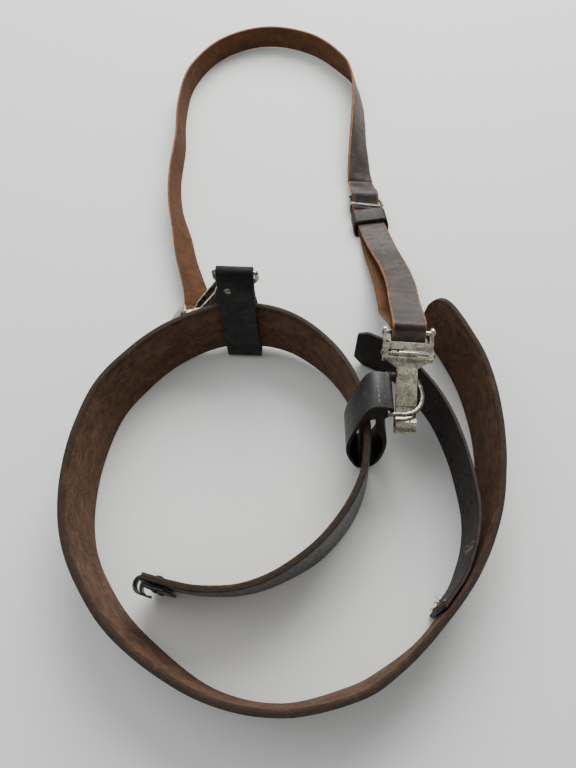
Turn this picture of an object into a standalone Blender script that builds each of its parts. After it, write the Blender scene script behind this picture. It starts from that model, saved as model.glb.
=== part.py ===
"""A leather waist belt with a shoulder strap, standing on its lower edge in a loose spiral.

Table frame: x to the right, y to the back, z up. Lengths in the lists below are millimetres and
become metres through MM. The empty "table_frame" moves the whole object so that the origin is at
the middle of its bounding box, on the table.
"""

import math

import bmesh
import bpy
from mathutils import Matrix, Vector

MM = 0.001
GAP = 0.3 * MM
ORIGIN_IN_TABLE = Vector((-1.285, 153.39, 0.0)) * MM

# Main belt
BELT_WIDTH = 45.0 * MM
BELT_THICKNESS = 4.2 * MM
BELT_TIP_LENGTH = 20.0 * MM
HOOK_TAB_LENGTH = 12.5 * MM
HOOK_TAB_THICKNESS = 1.6 * MM
# Sizing tongue sewn inside the belt's pointed end
TONGUE_WIDTH = 43.0 * MM
TONGUE_THICKNESS = 2.5 * MM
TONGUE_HOLE_RADIUS = 1.7 * MM
TONGUE_HOLE_PAIRS = 6
TONGUE_FIRST_HOLE = 50.0 * MM
TONGUE_HOLE_PITCH = 17.3 * MM
TONGUE_HOLE_ROWS = (10.0 * MM, 31.0 * MM)
THREAD_RADIUS = 0.5 * MM
THREAD_STITCHES = 10
# Loops that carry the rings
LOOP_WIDTH = 23.0 * MM
LOOP_TAB_THICKNESS = 4.8 * MM
RING_WIRE_RADIUS = 1.5 * MM
RING_WIDTH = 30.4 * MM
RING_DEPTH = 21.0 * MM
RING_HOLE_RADIUS = RING_WIRE_RADIUS + GAP
# Shoulder strap
STRAP_WIDTH = 20.5 * MM
STRAP_THICKNESS = 2.0 * MM
STRAP_TURN_RADIUS = 2.9 * MM
# Round the front bar the strap reaches further towards the plate, and its lower run lies askew
FRONT_WRAP_REACH = 1.8
STRAP_ASKEW = 1.6 * MM
# Snap hooks: u runs from the strap bar to the nose, n out of the face, w across
HOOK_SHEET = 1.3 * MM
HOUSING_HALF_WIDTH = 13.8 * MM
CHEEK_THICKNESS = 1.4 * MM
BLADE_HALF_WIDTH = 6.0 * MM
STRAP_BAR_RADIUS = 1.5 * MM
GATE_PIN_RADIUS = 1.0 * MM
GATE_PIN_U = 14.0 * MM
GATE_PIN_N = 1.2 * MM
GATE_BARREL_RADIUS = GATE_PIN_RADIUS + GAP + 0.6 * MM
GATE_SLOT = 2 * (GATE_BARREL_RADIUS + GAP)
GATE_HALF_WIDTH = 5.6 * MM
BAR_HEAD_RADIUS = 2.5 * MM
# Slide buckle
BUCKLE_WIRE_RADIUS = 1.25 * MM
BUCKLE_WIDTH = 24.6 * MM

# Middle line of the belt: x, y, how far the top edge leans outwards, and how far the belt is
# lifted off the table where a loop passes under it.
BELT_ROUTE = (
    (-80, -45.7, 3.5, 0.0),
    (-65, -49.6, 4.0, 0.0),
    (-48, -52.3, 4.5, 0.0),
    (-26, -51.3, 4.0, 0.0),
    (-5, -44.0, 2.0, 0.0),
    (18, -29.0, -1.5, 0.0),
    (36, -8.0, -3.0, 0.4),
    (46, 14.0, -3.0, 2.2),
    (48.8, 38.0, -2.5, 2.6),
    (44.8, 65.4, -2.0, 2.3),
    (31, 92.5, 0.0, 0.8),
    (7, 113.4, 2.4, 1.8),
    (-18, 121.6, 4.0, 2.6),
    (-46, 121.0, 4.5, 2.6),
    (-75, 109.5, 5.5, 0.6),
    (-98, 90.0, 7.0, 0.0),
    (-117, 63.0, 8.0, 0.0),
    (-127, 20.0, 8.0, 0.0),
    (-124, -22.0, 7.0, 0.0),
    (-107, -56.0, 7.5, 0.0),
    (-83, -81.5, 8.0, 0.0),
    (-44, -106.3, 4.5, 0.0),
    (-4, -114.2, 4.0, 0.0),
    (34, -106.5, 5.0, 0.0),
    (56, -95.0, 3.0, 0.0),
    (80, -75.3, -0.5, 0.0),
    (103, -46.5, 1.0, 0.0),
    (118, -15.0, 2.5, 0.0),
    (124.5, 17.0, 4.5, 0.0),
    (126, 50.0, 5.5, 0.0),
    (121.5, 83.0, 7.0, 0.0),
    (112, 108.8, 7.0, 0.0),
    (101.5, 128.5, 7.0, 0.0),
)
# Middle line of the tongue past its sewn end: x, y
TONGUE_ROUTE = (
    (106.8, -26.0),
    (110.0, -8.0),
    (109.0, 10.0),
    (105.0, 34.0),
    (96.5, 59.5),
    (84.0, 79.5),
    (68.0, 96.5),
    (46.0, 108.8),
)
# Places on the belt that the tongue's sewn end lies against: x, y
TONGUE_SEWN = (
    (89, -65),
    (97, -55),
    (104, -45),
)
# Middle line of the shoulder strap round the table, from the back hook to the buckle: x, y and the
# angle of its width over the table, 90 on edge, 180 lying with the grain side up.
STRAP_ROUTE = (
    (-64.2, 147.0, 30),
    (-66.4, 160.0, 36),
    (-71, 175.0, 43),
    (-75.4, 190.0, 48),
    (-79.5, 210.0, 55),
    (-86, 236.0, 67),
    (-88.3, 265.0, 74),
    (-86.5, 300.0, 77),
    (-87.5, 334.0, 80),
    (-82, 372.0, 84),
    (-62, 404.0, 90),
    (-34, 420.5, 92),
    (-6, 423.0, 92),
    (24, 412.0, 90),
    (46, 390.0, 94),
    (55.3, 372.0, 106),
    (58.2, 350.0, 117),
    (58, 330.0, 124),
    (57, 310.0, 131),
    (56.6, 290.0, 143),
    (56.4, 274.0, 155),
    (57.2, 264.0, 168),
)
# The strap from the buckle to the front hook, grain side up, and its way back below: x, y, z
STRAP_OUT = (
    (58.6, 256.0, 7.0),
    (59.6, 248.8, 9.1),
    (60.0, 242.0, 6.3),
    (60.2, 237.0, 5.4),
    (61.6, 229.0, 5.9),
    (65.0, 215.0, 6.6),
    (70.6, 197.0, 8.6),
    (75.6, 176.0, 17.0),
    (77.2, 152.0, 31.0),
    (76.0, 128.0, 45.5),
)
STRAP_BACK = (
    (70.8, 124.0, 35.5),
    (70.9, 150.0, 21.5),
    (69.8, 174.0, 10.0),
    (66.6, 197.0, 4.4),
    (64.4, 215.0, 3.2),
    (61.8, 228.0, 3.0),
    (58.4, 238.7, 1.7),
)

BACK_LOOP_AT = Vector((-29.4, 121.8, 0.0)) * MM
BACK_LOOP_SLANT = 0.055
BACK_RING_BAR = (9.5, 73.4)
FRONT_LOOP_AT = Vector((48.4, 41.0, 0.0)) * MM
FRONT_LOOP_SLANT = 0.25
FRONT_RING_BAR = (10.8, 58.0)

FRONT_BAR = Vector((73.0, 93.2, 65.6)) * MM
FRONT_HOOK_TO_NOSE = Vector((-0.066, -0.977, -0.203))
FRONT_HOOK_FACE = Vector((0.0, 0.0, 1.0))
BACK_BAR = Vector((-66.6, 129.1, 11.7)) * MM
BACK_HOOK_TO_NOSE = Vector((0.585, 0.048, 0.9))
BACK_HOOK_FACE = Vector((0.279, -0.97, 0.234))

BUCKLE_REAR = Vector((59.6, 248.6, 3.8)) * MM
BUCKLE_TO_FRONT = Vector((0.8, -10.6, 5.0)) * MM
BUCKLE_BAR_AXIS = Vector((0.99, -0.139, 0.0))
KEEPER_AT = Vector((63.2, 221.2, 0.0)) * MM
KEEPER_LEAN = Vector((-0.14, 0.7, 0.0))


def clear_scene():
    for obj in list(bpy.data.objects):
        bpy.data.objects.remove(obj, do_unlink=True)


def new_collection(name, hidden=False):
    group = bpy.data.collections.new(name)
    group.hide_render = hidden
    bpy.context.scene.collection.children.link(group)
    return group


def principled(name, colour, roughness, metallic=0.0):
    made = bpy.data.materials.new(name)
    made.use_nodes = True
    shader = made.node_tree.nodes["Principled BSDF"]
    shader.inputs["Base Color"].default_value = (*colour, 1.0)
    shader.inputs["Roughness"].default_value = roughness
    shader.inputs["Metallic"].default_value = metallic
    return made


SOFT = {
    "belt_leather": ((0.10, 0.055, 0.035), 0.6),
    "black_leather": ((0.015, 0.015, 0.017), 0.45),
    "strap_leather": ((0.045, 0.028, 0.022), 0.5),
    "thread": ((0.30, 0.24, 0.13), 0.8),
}
METALS = {
    "nickel": ((0.62, 0.60, 0.55), 0.32),
    "dark_steel": ((0.10, 0.10, 0.10), 0.45),
}


def material_for(slot, node):
    colour, roughness = SOFT.get(slot) or METALS[slot]
    return principled(node + "_" + slot, colour, roughness, 1.0 if slot in METALS else 0.0)


def add_mesh(name, mesh_data, slot, parent=None, cutter=False):
    obj = bpy.data.objects.new(name, mesh_data)
    (CUTTERS if cutter else PARTS).objects.link(obj)
    obj.parent = parent or FRAME
    if cutter:
        obj.hide_render = True
        obj.display_type = "WIRE"
    else:
        mesh_data.materials.clear()
        mesh_data.materials.append(material_for(slot, name))
        mesh_data.shade_smooth()
        mesh_data.set_sharp_from_angle(angle=math.radians(35))
    return obj


def bmesh_to_data(name, bm):
    bmesh.ops.recalc_face_normals(bm, faces=bm.faces)
    data = bpy.data.meshes.new(name)
    bm.to_mesh(data)
    bm.free()
    return data


def curve_to_data(curve_object):
    """The solid of a curve as a mesh with its caps welded; the curve itself is removed."""
    bpy.context.view_layer.update()
    graph = bpy.context.evaluated_depsgraph_get()
    data = bpy.data.meshes.new_from_object(curve_object.evaluated_get(graph))
    bm = bmesh.new()
    bm.from_mesh(data)
    bmesh.ops.remove_doubles(bm, verts=bm.verts, dist=0.00002)
    bmesh.ops.recalc_face_normals(bm, faces=bm.faces)
    bm.to_mesh(data)
    bm.free()
    bpy.data.objects.remove(curve_object, do_unlink=True)
    return data


def flat_outline(name, outlines, half_thickness, rounded=()):
    """An extruded flat shape. outlines are lists of (x, y) in metres: the first is the outside and
    the others are holes. Those numbered in rounded are smooth curves through their points."""
    curve = bpy.data.curves.new(name, "CURVE")
    curve.dimensions = "2D"
    curve.fill_mode = "BOTH"
    curve.extrude = half_thickness
    curve.resolution_u = 3
    for number, outline in enumerate(outlines):
        spline = curve.splines.new("BEZIER")
        spline.bezier_points.add(len(outline) - 1)
        for knot, (x, y) in zip(spline.bezier_points, outline):
            knot.co = (x, y, 0.0)
            kind = "AUTO" if number in rounded else "VECTOR"
            knot.handle_left_type = kind
            knot.handle_right_type = kind
        spline.use_cyclic_u = True
    obj = bpy.data.objects.new(name, curve)
    bpy.context.scene.collection.objects.link(obj)
    return curve_to_data(obj)


def wire_data(name, points, radius, cyclic=False, sides=2):
    """A round wire of the given radius along points in metres."""
    curve = bpy.data.curves.new(name, "CURVE")
    curve.dimensions = "3D"
    curve.bevel_depth = radius
    curve.bevel_resolution = sides
    curve.use_fill_caps = not cyclic
    spline = curve.splines.new("POLY")
    spline.points.add(len(points) - 1)
    for knot, point in zip(spline.points, points):
        knot.co = (*point, 1.0)
    spline.use_cyclic_u = cyclic
    obj = bpy.data.objects.new(name, curve)
    bpy.context.scene.collection.objects.link(obj)
    return curve_to_data(obj)


def arc(centre, radius, start, stop, steps):
    """Points (x, y) round a centre from one angle to another, in degrees."""
    points = []
    for step in range(steps + 1):
        angle = math.radians(start + (stop - start) * step / steps)
        points.append((centre[0] + radius * math.cos(angle), centre[1] + radius * math.sin(angle)))
    return points


def circle(centre, radius, steps=16):
    return arc(centre, radius, 0, 360 - 360 / steps, steps - 1)


def scaled(points):
    return [tuple(value * MM for value in point) for point in points]


def turned_rivet(shank, head_radius, length, dome):
    """A rivet along z, centred: a profile from the top of one head to the other, turned round z."""
    half = length / 2
    profile = [(0.0, half + dome), (head_radius * 0.6, half + dome * 0.75), (head_radius, half)]
    profile += [(shank, half), (shank, -half)]
    profile += [(head_radius, -half), (head_radius * 0.6, -half - dome * 0.75), (0.0, -half - dome)]
    bm = bmesh.new()
    verts = [bm.verts.new((x, 0.0, z)) for x, z in profile]
    for first, second in zip(verts, verts[1:]):
        bm.edges.new((first, second))
    data = bpy.data.meshes.new("rivet_profile")
    bm.to_mesh(data)
    bm.free()
    obj = bpy.data.objects.new("rivet_profile", data)
    bpy.context.scene.collection.objects.link(obj)
    screw = obj.modifiers.new("turn", "SCREW")
    screw.steps = 12
    screw.render_steps = 12
    screw.use_merge_vertices = True
    screw.merge_threshold = 0.00001
    screw.use_normal_calculate = True
    bpy.context.view_layer.update()
    graph = bpy.context.evaluated_depsgraph_get()
    turned = bpy.data.meshes.new_from_object(obj.evaluated_get(graph))
    bpy.data.objects.remove(obj, do_unlink=True)
    bm = bmesh.new()
    bm.from_mesh(turned)
    bmesh.ops.remove_doubles(bm, verts=bm.verts, dist=0.00002)
    return bmesh_to_data("rivet", bm)


def cylinder_data(name, radius, length, sides=16):
    bm = bmesh.new()
    bmesh.ops.create_cone(
        bm, cap_ends=True, segments=sides, radius1=radius, radius2=radius, depth=length
    )
    return bmesh_to_data(name, bm)


def box_data(name, size, centre):
    bm = bmesh.new()
    bmesh.ops.create_cube(bm, size=1.0)
    bmesh.ops.scale(bm, vec=size, verts=bm.verts)
    bmesh.ops.translate(bm, vec=centre, verts=bm.verts)
    return bmesh_to_data(name, bm)


def boolean(obj, other, operation):
    step = obj.modifiers.new(operation.lower(), "BOOLEAN")
    step.operation = operation
    step.object = other


def axes_matrix(origin, x_axis, y_axis, z_axis):
    turn = Matrix((x_axis, y_axis, z_axis)).transposed()
    return Matrix.Translation(origin) @ turn.to_4x4()


def smooth(points, steps):
    """A Catmull-Rom curve through points of any number of values, with steps samples per span."""
    ends = [[2 * a - b for a, b in zip(points[0], points[1])]]
    ends += [list(point) for point in points]
    ends += [[2 * a - b for a, b in zip(points[-1], points[-2])]]
    samples = []
    for i in range(1, len(ends) - 2):
        p0, p1, p2, p3 = ends[i - 1 : i + 3]
        for step in range(steps):
            t = step / steps
            sample = []
            for a, b, c, d in zip(p0, p1, p2, p3):
                bend = (2 * a - 5 * b + 4 * c - d) * t * t + (3 * b - a - 3 * c + d) * t * t * t
                sample.append(b + 0.5 * ((c - a) * t + bend))
            samples.append(sample)
    return samples + [list(points[-1])]


def loft(name, rings):
    """A closed solid through four-cornered sections, capped at both ends."""
    bm = bmesh.new()
    rows = [[bm.verts.new(corner) for corner in ring] for ring in rings]
    for near, far in zip(rows, rows[1:]):
        for i in range(4):
            j = (i + 1) % 4
            bm.faces.new((near[i], near[j], far[j], far[i]))
    bm.faces.new(rows[0][::-1])
    bm.faces.new(rows[-1])
    return bmesh_to_data(name, bm)


def along(samples, i):
    """The direction of travel at sample i, level with the table."""
    before = Vector(samples[max(i - 1, 0)][:2])
    after = Vector(samples[min(i + 1, len(samples) - 1)][:2])
    return (after - before).normalized()


def standing_band(name, samples, width, thickness, tip_length=0.0):
    """A strap on edge. samples are (x, y, lean, lift) in metres. Each section is sheared and not
    turned, so that the lower edge stays flat on the table. The last tip_length ends in an arch."""
    run = 0.0
    runs = [0.0]
    for a, b in zip(samples, samples[1:]):
        run += (Vector(b[:2]) - Vector(a[:2])).length
        runs.append(run)
    rings = []
    for i, (x, y, lean, lift) in enumerate(samples):
        direction = along(samples, i)
        outward = Vector((direction.y, -direction.x))
        past = max(0.0, runs[i] - (run - tip_length)) / tip_length if tip_length else 0.0
        cut = 0.5 * width * (1.0 - math.sqrt(max(0.0, 1.0 - 0.94 * past**2.6)))
        ring = []
        for height, side in ((cut, -1), (cut, 1), (width - cut, 1), (width - cut, -1)):
            offset = lean * (height / width - 0.5) + side * thickness / 2
            flat = Vector((x, y)) + outward * offset
            ring.append((flat.x, flat.y, max(lift, 0.0) + height))
        rings.append(ring)
    return loft(name, rings)


def belt_samples():
    return [[value * MM for value in sample] for sample in smooth(BELT_ROUTE, 3)]


def nearest(samples, place):
    return min(range(len(samples)), key=lambda i: (Vector(samples[i][:2]) - place.xy).length)


def make_belt():
    samples = belt_samples()
    tip = []
    for step in range(1, 8):
        t = math.sin(math.pi / 2 * step / 7)
        direction = along(samples, len(samples) - 1)
        x, y, lean, lift = samples[-1]
        reach = direction * BELT_TIP_LENGTH * 0.5 * t
        tip.append([x + reach.x, y + reach.y, lean, lift])
    data = standing_band("belt_strap", samples + tip, BELT_WIDTH, BELT_THICKNESS, BELT_TIP_LENGTH)
    return add_mesh("belt_strap", data, "belt_leather")


def tongue_samples():
    """The sewn end follows the belt's inner face; the rest stands free."""
    belt = belt_samples()
    reach = BELT_THICKNESS / 2 + TONGUE_THICKNESS / 2 + 3 * GAP
    points = []
    for place in TONGUE_SEWN:
        i = nearest(belt, Vector((*place, 0.0)) * MM)
        direction = along(belt, i)
        points.append((belt[i][0] - direction.y * reach, belt[i][1] + direction.x * reach, 0.0, 0.0))
    points += [(x * MM, y * MM, 0.0, 0.0) for x, y in TONGUE_ROUTE]
    return smooth(points, 5)


def make_tongue():
    """The inner tongue with pairs of holes. Its free end has clipped corners."""
    samples = tongue_samples()
    direction = along(samples, len(samples) - 1)
    end = samples[-1]
    band = standing_band("sizing_tongue", samples, TONGUE_WIDTH, TONGUE_THICKNESS)
    tongue = add_mesh("sizing_tongue", band, "black_leather")
    holes = bmesh.new()
    run, wanted = 0.0, 0
    for i in range(len(samples) - 1, 0, -1):
        here, there = Vector(samples[i][:2]), Vector(samples[i - 1][:2])
        step = (there - here).length
        while wanted < TONGUE_HOLE_PAIRS:
            reach = TONGUE_FIRST_HOLE + wanted * TONGUE_HOLE_PITCH - run
            if reach >= step:
                break
            spot = here + (there - here) * (reach / step)
            across = Vector(((there - here).y, -(there - here).x, 0.0)).normalized()
            turn = across.to_track_quat("Z", "Y").to_matrix().to_4x4()
            for height in TONGUE_HOLE_ROWS:
                place = Matrix.Translation((spot.x, spot.y, height)) @ turn
                bmesh.ops.create_cone(
                    holes,
                    cap_ends=True,
                    segments=10,
                    radius1=TONGUE_HOLE_RADIUS,
                    radius2=TONGUE_HOLE_RADIUS,
                    depth=9 * MM,
                    matrix=place,
                )
            wanted += 1
        run += step
    for height in (0.0, TONGUE_WIDTH):
        turn = Matrix.Rotation(math.atan2(direction.y, direction.x), 4, "Z")
        turn = turn @ Matrix.Rotation(math.radians(45), 4, "Y")
        place = Matrix.Translation((end[0], end[1], height)) @ turn
        corner = bmesh.ops.create_cube(holes, size=1.0)["verts"]
        bmesh.ops.scale(holes, vec=(9 * MM, 12 * MM, 9 * MM), verts=corner)
        bmesh.ops.transform(holes, matrix=place, verts=corner)
    cutter = add_mesh("tongue_cutter", bmesh_to_data("tongue_cutter", holes), None, cutter=True)
    boolean(tongue, cutter, "DIFFERENCE")


def make_thread():
    """The thread that sews the tongue's end to the belt: a zigzag on the tongue's inner face, with
    a loose end above."""
    samples = tongue_samples()
    direction = along(samples, 0)
    x, y = samples[0][:2]
    inward = Vector((-direction.y, direction.x, 0.0))
    start = Vector((x, y, 0.0)) + inward * (TONGUE_THICKNESS / 2 + THREAD_RADIUS + GAP)
    forward = Vector((direction.x, direction.y, 0.0))
    points = []
    for step in range(THREAD_STITCHES + 1):
        height = TONGUE_WIDTH * (0.1 + 0.8 * step / THREAD_STITCHES)
        reach = (2.0 if step % 2 else 4.6) * MM
        points.append(start + forward * reach + Vector((0.0, 0.0, height)))
    top = points[-1]
    for out, ahead, up in ((0.8, -1.4, 1.5), (2.2, -1.0, 3.0), (3.0, 1.5, 3.4), (2.0, 3.8, 2.6)):
        points.append(top + (inward * out + forward * ahead + Vector((0.0, 0.0, up))) * MM)
    add_mesh("tongue_thread", wire_data("tongue_thread", points, THREAD_RADIUS), "thread")


def sheet_outline(line, thickness):
    """The closed outline of a bent sheet of even thickness along a line of (u, n) in metres."""
    left, right = [], []
    for i, point in enumerate(line):
        before = Vector(line[max(i - 1, 0)])
        after = Vector(line[min(i + 1, len(line) - 1)])
        direction = (after - before).normalized()
        side = Vector((-direction.y, direction.x)) * thickness / 2
        left.append(tuple(Vector(point) + side))
        right.append(tuple(Vector(point) - side))
    return left + right[::-1]


def make_belt_hook():
    """A sheet plate under the belt's doubled end, with two claws that curl outwards."""
    start = belt_samples()[0]
    direction = along(belt_samples(), 0)
    forward = Vector((direction.x, direction.y, 0.0))
    outward = Vector((direction.y, -direction.x, 0.0))
    leaning = (outward * start[2] + Vector((0.0, 0.0, BELT_WIDTH))).normalized()
    frame = axes_matrix(
        Vector((start[0], start[1], BELT_WIDTH / 2)), -forward, forward.cross(leaning), -leaning
    )
    hook_frame = bpy.data.objects.new("belt_hook_frame", None)
    PARTS.objects.link(hook_frame)
    hook_frame.parent = FRAME
    hook_frame.matrix_local = frame
    plate_n = BELT_THICKNESS / 2 + GAP + 0.6 * MM
    line = [(-13 * MM, plate_n), (0.4 * MM, plate_n), (1.7 * MM, plate_n - 1.1 * MM)]
    line += arc((-0.2 * MM, 4.1 * MM), 5.1 * MM, -56, 112, 10)
    sheet = flat_outline("belt_hook", [sheet_outline(line, 1.2 * MM)], 13 * MM)
    hook = add_mesh("belt_hook", sheet, "dark_steel", hook_frame)
    window = box_data("claw_window", (15 * MM, 18 * MM, 9 * MM), (8.2 * MM, 4 * MM, 0.0))
    claw_room = box_data("claw_room", (9 * MM, 3 * MM, 9 * MM), (-3.5 * MM, 9 * MM, 0.0))
    boolean(hook, add_mesh("claw_window", window, None, hook_frame, cutter=True), "DIFFERENCE")
    boolean(hook, add_mesh("claw_room", claw_room, None, hook_frame, cutter=True), "DIFFERENCE")
    tab_n = plate_n + 0.6 * MM + GAP + HOOK_TAB_THICKNESS / 2
    tab_size = (HOOK_TAB_LENGTH, HOOK_TAB_THICKNESS, BELT_WIDTH - 3 * MM)
    tab_middle = -1.8 * MM - HOOK_TAB_LENGTH / 2
    tab = box_data("belt_hook_tab", tab_size, (tab_middle, tab_n, 0.0))
    tab_object = add_mesh("belt_hook_tab", tab, "belt_leather", hook_frame)
    edges = tab_object.modifiers.new("edges", "BEVEL")
    edges.width = 0.5 * MM
    edges.segments = 1
    edges.limit_method = "ANGLE"
    holes = bmesh.new()
    outer_face = tab_n + HOOK_TAB_THICKNESS / 2
    stack = outer_face + GAP + BELT_THICKNESS / 2 + GAP
    middle = (outer_face - BELT_THICKNESS / 2) / 2
    lie = Matrix.Rotation(math.radians(90), 4, "X")
    for side, label in ((-1, "lower"), (1, "upper")):
        spot = Vector((-7.5 * MM, middle, side * 9 * MM))
        rivet = turned_rivet(1.3 * MM, 2.6 * MM, stack, 0.9 * MM)
        made = add_mesh("hook_rivet_" + label, rivet, "dark_steel", hook_frame)
        made.matrix_local = Matrix.Translation(spot) @ lie
        bmesh.ops.create_cone(
            holes,
            cap_ends=True,
            segments=12,
            radius1=1.3 * MM + GAP,
            radius2=1.3 * MM + GAP,
            depth=24 * MM,
            matrix=Matrix.Translation(spot) @ lie,
        )
    cutter = add_mesh(
        "hook_rivet_holes", bmesh_to_data("holes", holes), None, hook_frame, cutter=True
    )
    for drilled in (hook, tab_object, bpy.data.objects["belt_strap"]):
        boolean(drilled, cutter, "DIFFERENCE")


def loop_frame(name, place, slant=0.0):
    """An empty at a loop: local x outwards from the belt, y up, z along the belt against travel."""
    samples = belt_samples()
    i = nearest(samples, place)
    direction = along(samples, i)
    outward = Vector((direction.y, -direction.x, 0.0))
    forward = Vector((direction.x, direction.y, 0.0))
    turn = Matrix((outward, Vector((0.0, 0.0, 1.0)) + forward * slant, -forward)).transposed()
    empty = bpy.data.objects.new(name, None)
    PARTS.objects.link(empty)
    empty.parent = FRAME
    empty.matrix_local = Matrix.Translation(place)
    return empty, turn.to_4x4()


def ramp(t):
    t = min(max(t, 0.0), 1.0)
    return t * t * (3.0 - 2.0 * t)


def make_loop(name, place, outside, inside, bar, rivet_at, rivet_turn, slant=0.0, skew=0.0):
    """A leather loop round the belt, closed by a rivet and folded over a ring's bar. Its inner side
    is skewed along the belt by skew. rivet_at is outwards, up and along the belt."""
    empty, turn = loop_frame(name + "_frame", place, slant)
    outlines = [scaled(outside), scaled(inside), circle(scaled([bar])[0], RING_HOLE_RADIUS, 12)]
    data = flat_outline(name, outlines, LOOP_WIDTH / 2, rounded=(0, 1))
    for vertex in data.vertices:
        inner = ramp(-vertex.co.x / (10 * MM)) * ramp(vertex.co.y / (36 * MM))
        vertex.co.z += skew * inner
    data.transform(turn)
    loop = add_mesh(name, data, "black_leather", empty)
    spot = Matrix.Translation(scaled([rivet_at])[0])
    lie = Matrix.Rotation(math.radians(rivet_turn), 4, "Z") @ Matrix.Rotation(math.pi / 2, 4, "Y")
    hole = cylinder_data(name + "_rivet_hole", 1.2 * MM + GAP, 14 * MM, 12)
    hole.transform(turn @ spot @ lie)
    boolean(loop, add_mesh(name + "_rivet_hole", hole, None, empty, cutter=True), "DIFFERENCE")
    rivet = turned_rivet(1.2 * MM, 2.6 * MM, LOOP_TAB_THICKNESS + 2 * GAP, 0.8 * MM)
    rivet.transform(turn @ spot @ lie)
    add_mesh(name + "_rivet", rivet, "dark_steel", empty)
    return empty, turn


def ring_points():
    """A D ring in its own plane: the bar along y at x = 0, the bow towards +x."""
    half = RING_WIDTH / 2 - RING_WIRE_RADIUS
    corner = 2.0 * MM
    points = arc((corner, -half + corner), corner, 180, 232, 2)
    bow = []
    for step in range(1, 14):
        angle = math.radians(-90 + 180 * step / 14)
        x = corner + (RING_DEPTH - corner) * math.cos(angle) ** 0.6
        bow.append((x, half * math.sin(angle)))
    points += bow
    points += arc((corner, half - corner), corner, 128, 180, 2)
    return points


def make_ring(name, empty, turn, bar, swing):
    """A wire D ring whose bar lies in the loop's fold; swing turns its bow about the bar."""
    data = wire_data(name, [(x, y, 0.0) for x, y in ring_points()], RING_WIRE_RADIUS, cyclic=True)
    centre = turn @ Vector((*scaled([bar])[0], 0.0))
    along_bar = (turn @ Vector((0.0, 0.0, 1.0))).normalized()
    outward = (turn @ Vector((1.0, 0.0, 0.0))).normalized()
    bow = Matrix.Rotation(math.radians(swing), 3, along_bar) @ outward
    matrix = axes_matrix(centre, bow, along_bar, bow.cross(along_bar))
    ring = add_mesh(name, data, "nickel", empty)
    ring.matrix_local = matrix
    return ring


BACK_LOOP_OUTSIDE = (
    (-6.5, 0.3), (-1.0, 0.2), (3.6, 0.7), (6.4, 7), (7.3, 22), (7.7, 36), (7.5, 46),
    (6.6, 51.2), (5.0, 56), (7.0, 64.0), (10.0, 69.2), (13.0, 71.9), (12.9, 75.1), (10.6, 76.9),
    (7.6, 76.4), (5.6, 73.6), (2.6, 66.0), (-0.8, 57), (-4.2, 48), (-6.4, 36), (-8.4, 22),
    (-11.0, 7.5), (-10.6, 1.8),
)
BACK_LOOP_INSIDE = (
    (-5.5, 2.1), (-1.0, 2.1), (3.0, 2.3), (4.6, 8), (5.3, 22), (5.7, 36), (5.6, 46),
    (4.4, 50.6), (1.2, 52.2), (-1.8, 47.6), (-4.3, 36), (-6.3, 22), (-8.9, 9), (-8.4, 3.2),
)
FRONT_LOOP_OUTSIDE = (
    (-4.2, 0.6), (0.0, 0.2), (4.6, 0.7), (9.8, 7.6), (12.6, 20), (12.4, 31), (9.6, 41.8),
    (8.9, 50.4), (12.2, 54.0), (13.9, 57.8), (13.0, 60.6), (10.3, 61.5), (5.0, 62.6),
    (0.5, 61.4), (-4.8, 56.2), (-9.4, 47.0), (-12.6, 33.5), (-12.0, 21), (-8.2, 8),
)
FRONT_LOOP_INSIDE = (
    (-3.4, 2.1), (0.0, 2.1), (4.2, 2.1), (8.0, 8.6), (10.5, 20.5), (9.6, 30.5), (5.6, 39),
    (4.4, 44.5), (4.3, 49.5), (1.2, 51.6), (-2.2, 51.6), (-5.4, 49.8), (-7.6, 44.4), (-10.5, 33.0),
    (-10.0, 21.5), (-6.6, 9.5),
)


BLADE_LINE = (
    (7.6, 2.2), (17.4, 2.2), (19.4, 0.7), (22, 0.0), (43.0, 0.0), (45.6, -1.5), (48.0, -2.3),
    (51.0, -2.2), (53.0, -1.3), (55.6, -0.3), (58.4, -0.9), (60.3, -3.0), (60.8, -6.0), (59.4, -9.0),
    (56.4, -10.6), (53.2, -10.7), (50.8, -10.0),
)
GATE_LINE = (
    (14.0, -0.3), (14.4, -2.4), (16.4, -5.2), (20.0, -6.9), (36.0, -7.7), (54.2, -8.4),
)


def cheek_outline():
    """The side plate of a hook's housing: a round lug at the strap bar, square at the blade."""
    lug = [(0.1 * MM, -3.4 * MM)] + arc((0.0, 0.0), 3.4 * MM, 255, 105, 8)
    return lug + scaled([(4.0, 2.85), (17.6, 2.85), (18.4, 1.2), (17.6, -4.2), (6.0, -4.4)])


def hook_frame(name, origin, to_nose, face):
    u_axis = to_nose.normalized()
    w_axis = u_axis.cross(face).normalized()
    n_axis = w_axis.cross(u_axis)
    empty = bpy.data.objects.new(name, None)
    PARTS.objects.link(empty)
    empty.parent = FRAME
    empty.matrix_local = axes_matrix(origin, u_axis, n_axis, u_axis.cross(n_axis))
    return empty


def across_pin(name, radius, head_radius, empty, place):
    length = 2 * (HOUSING_HALF_WIDTH + CHEEK_THICKNESS + GAP)
    data = turned_rivet(radius, head_radius, length, 0.9 * MM)
    pin = add_mesh(name, data, "nickel", empty)
    pin.matrix_local = Matrix.Translation((*place, 0.0))
    return pin


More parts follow.
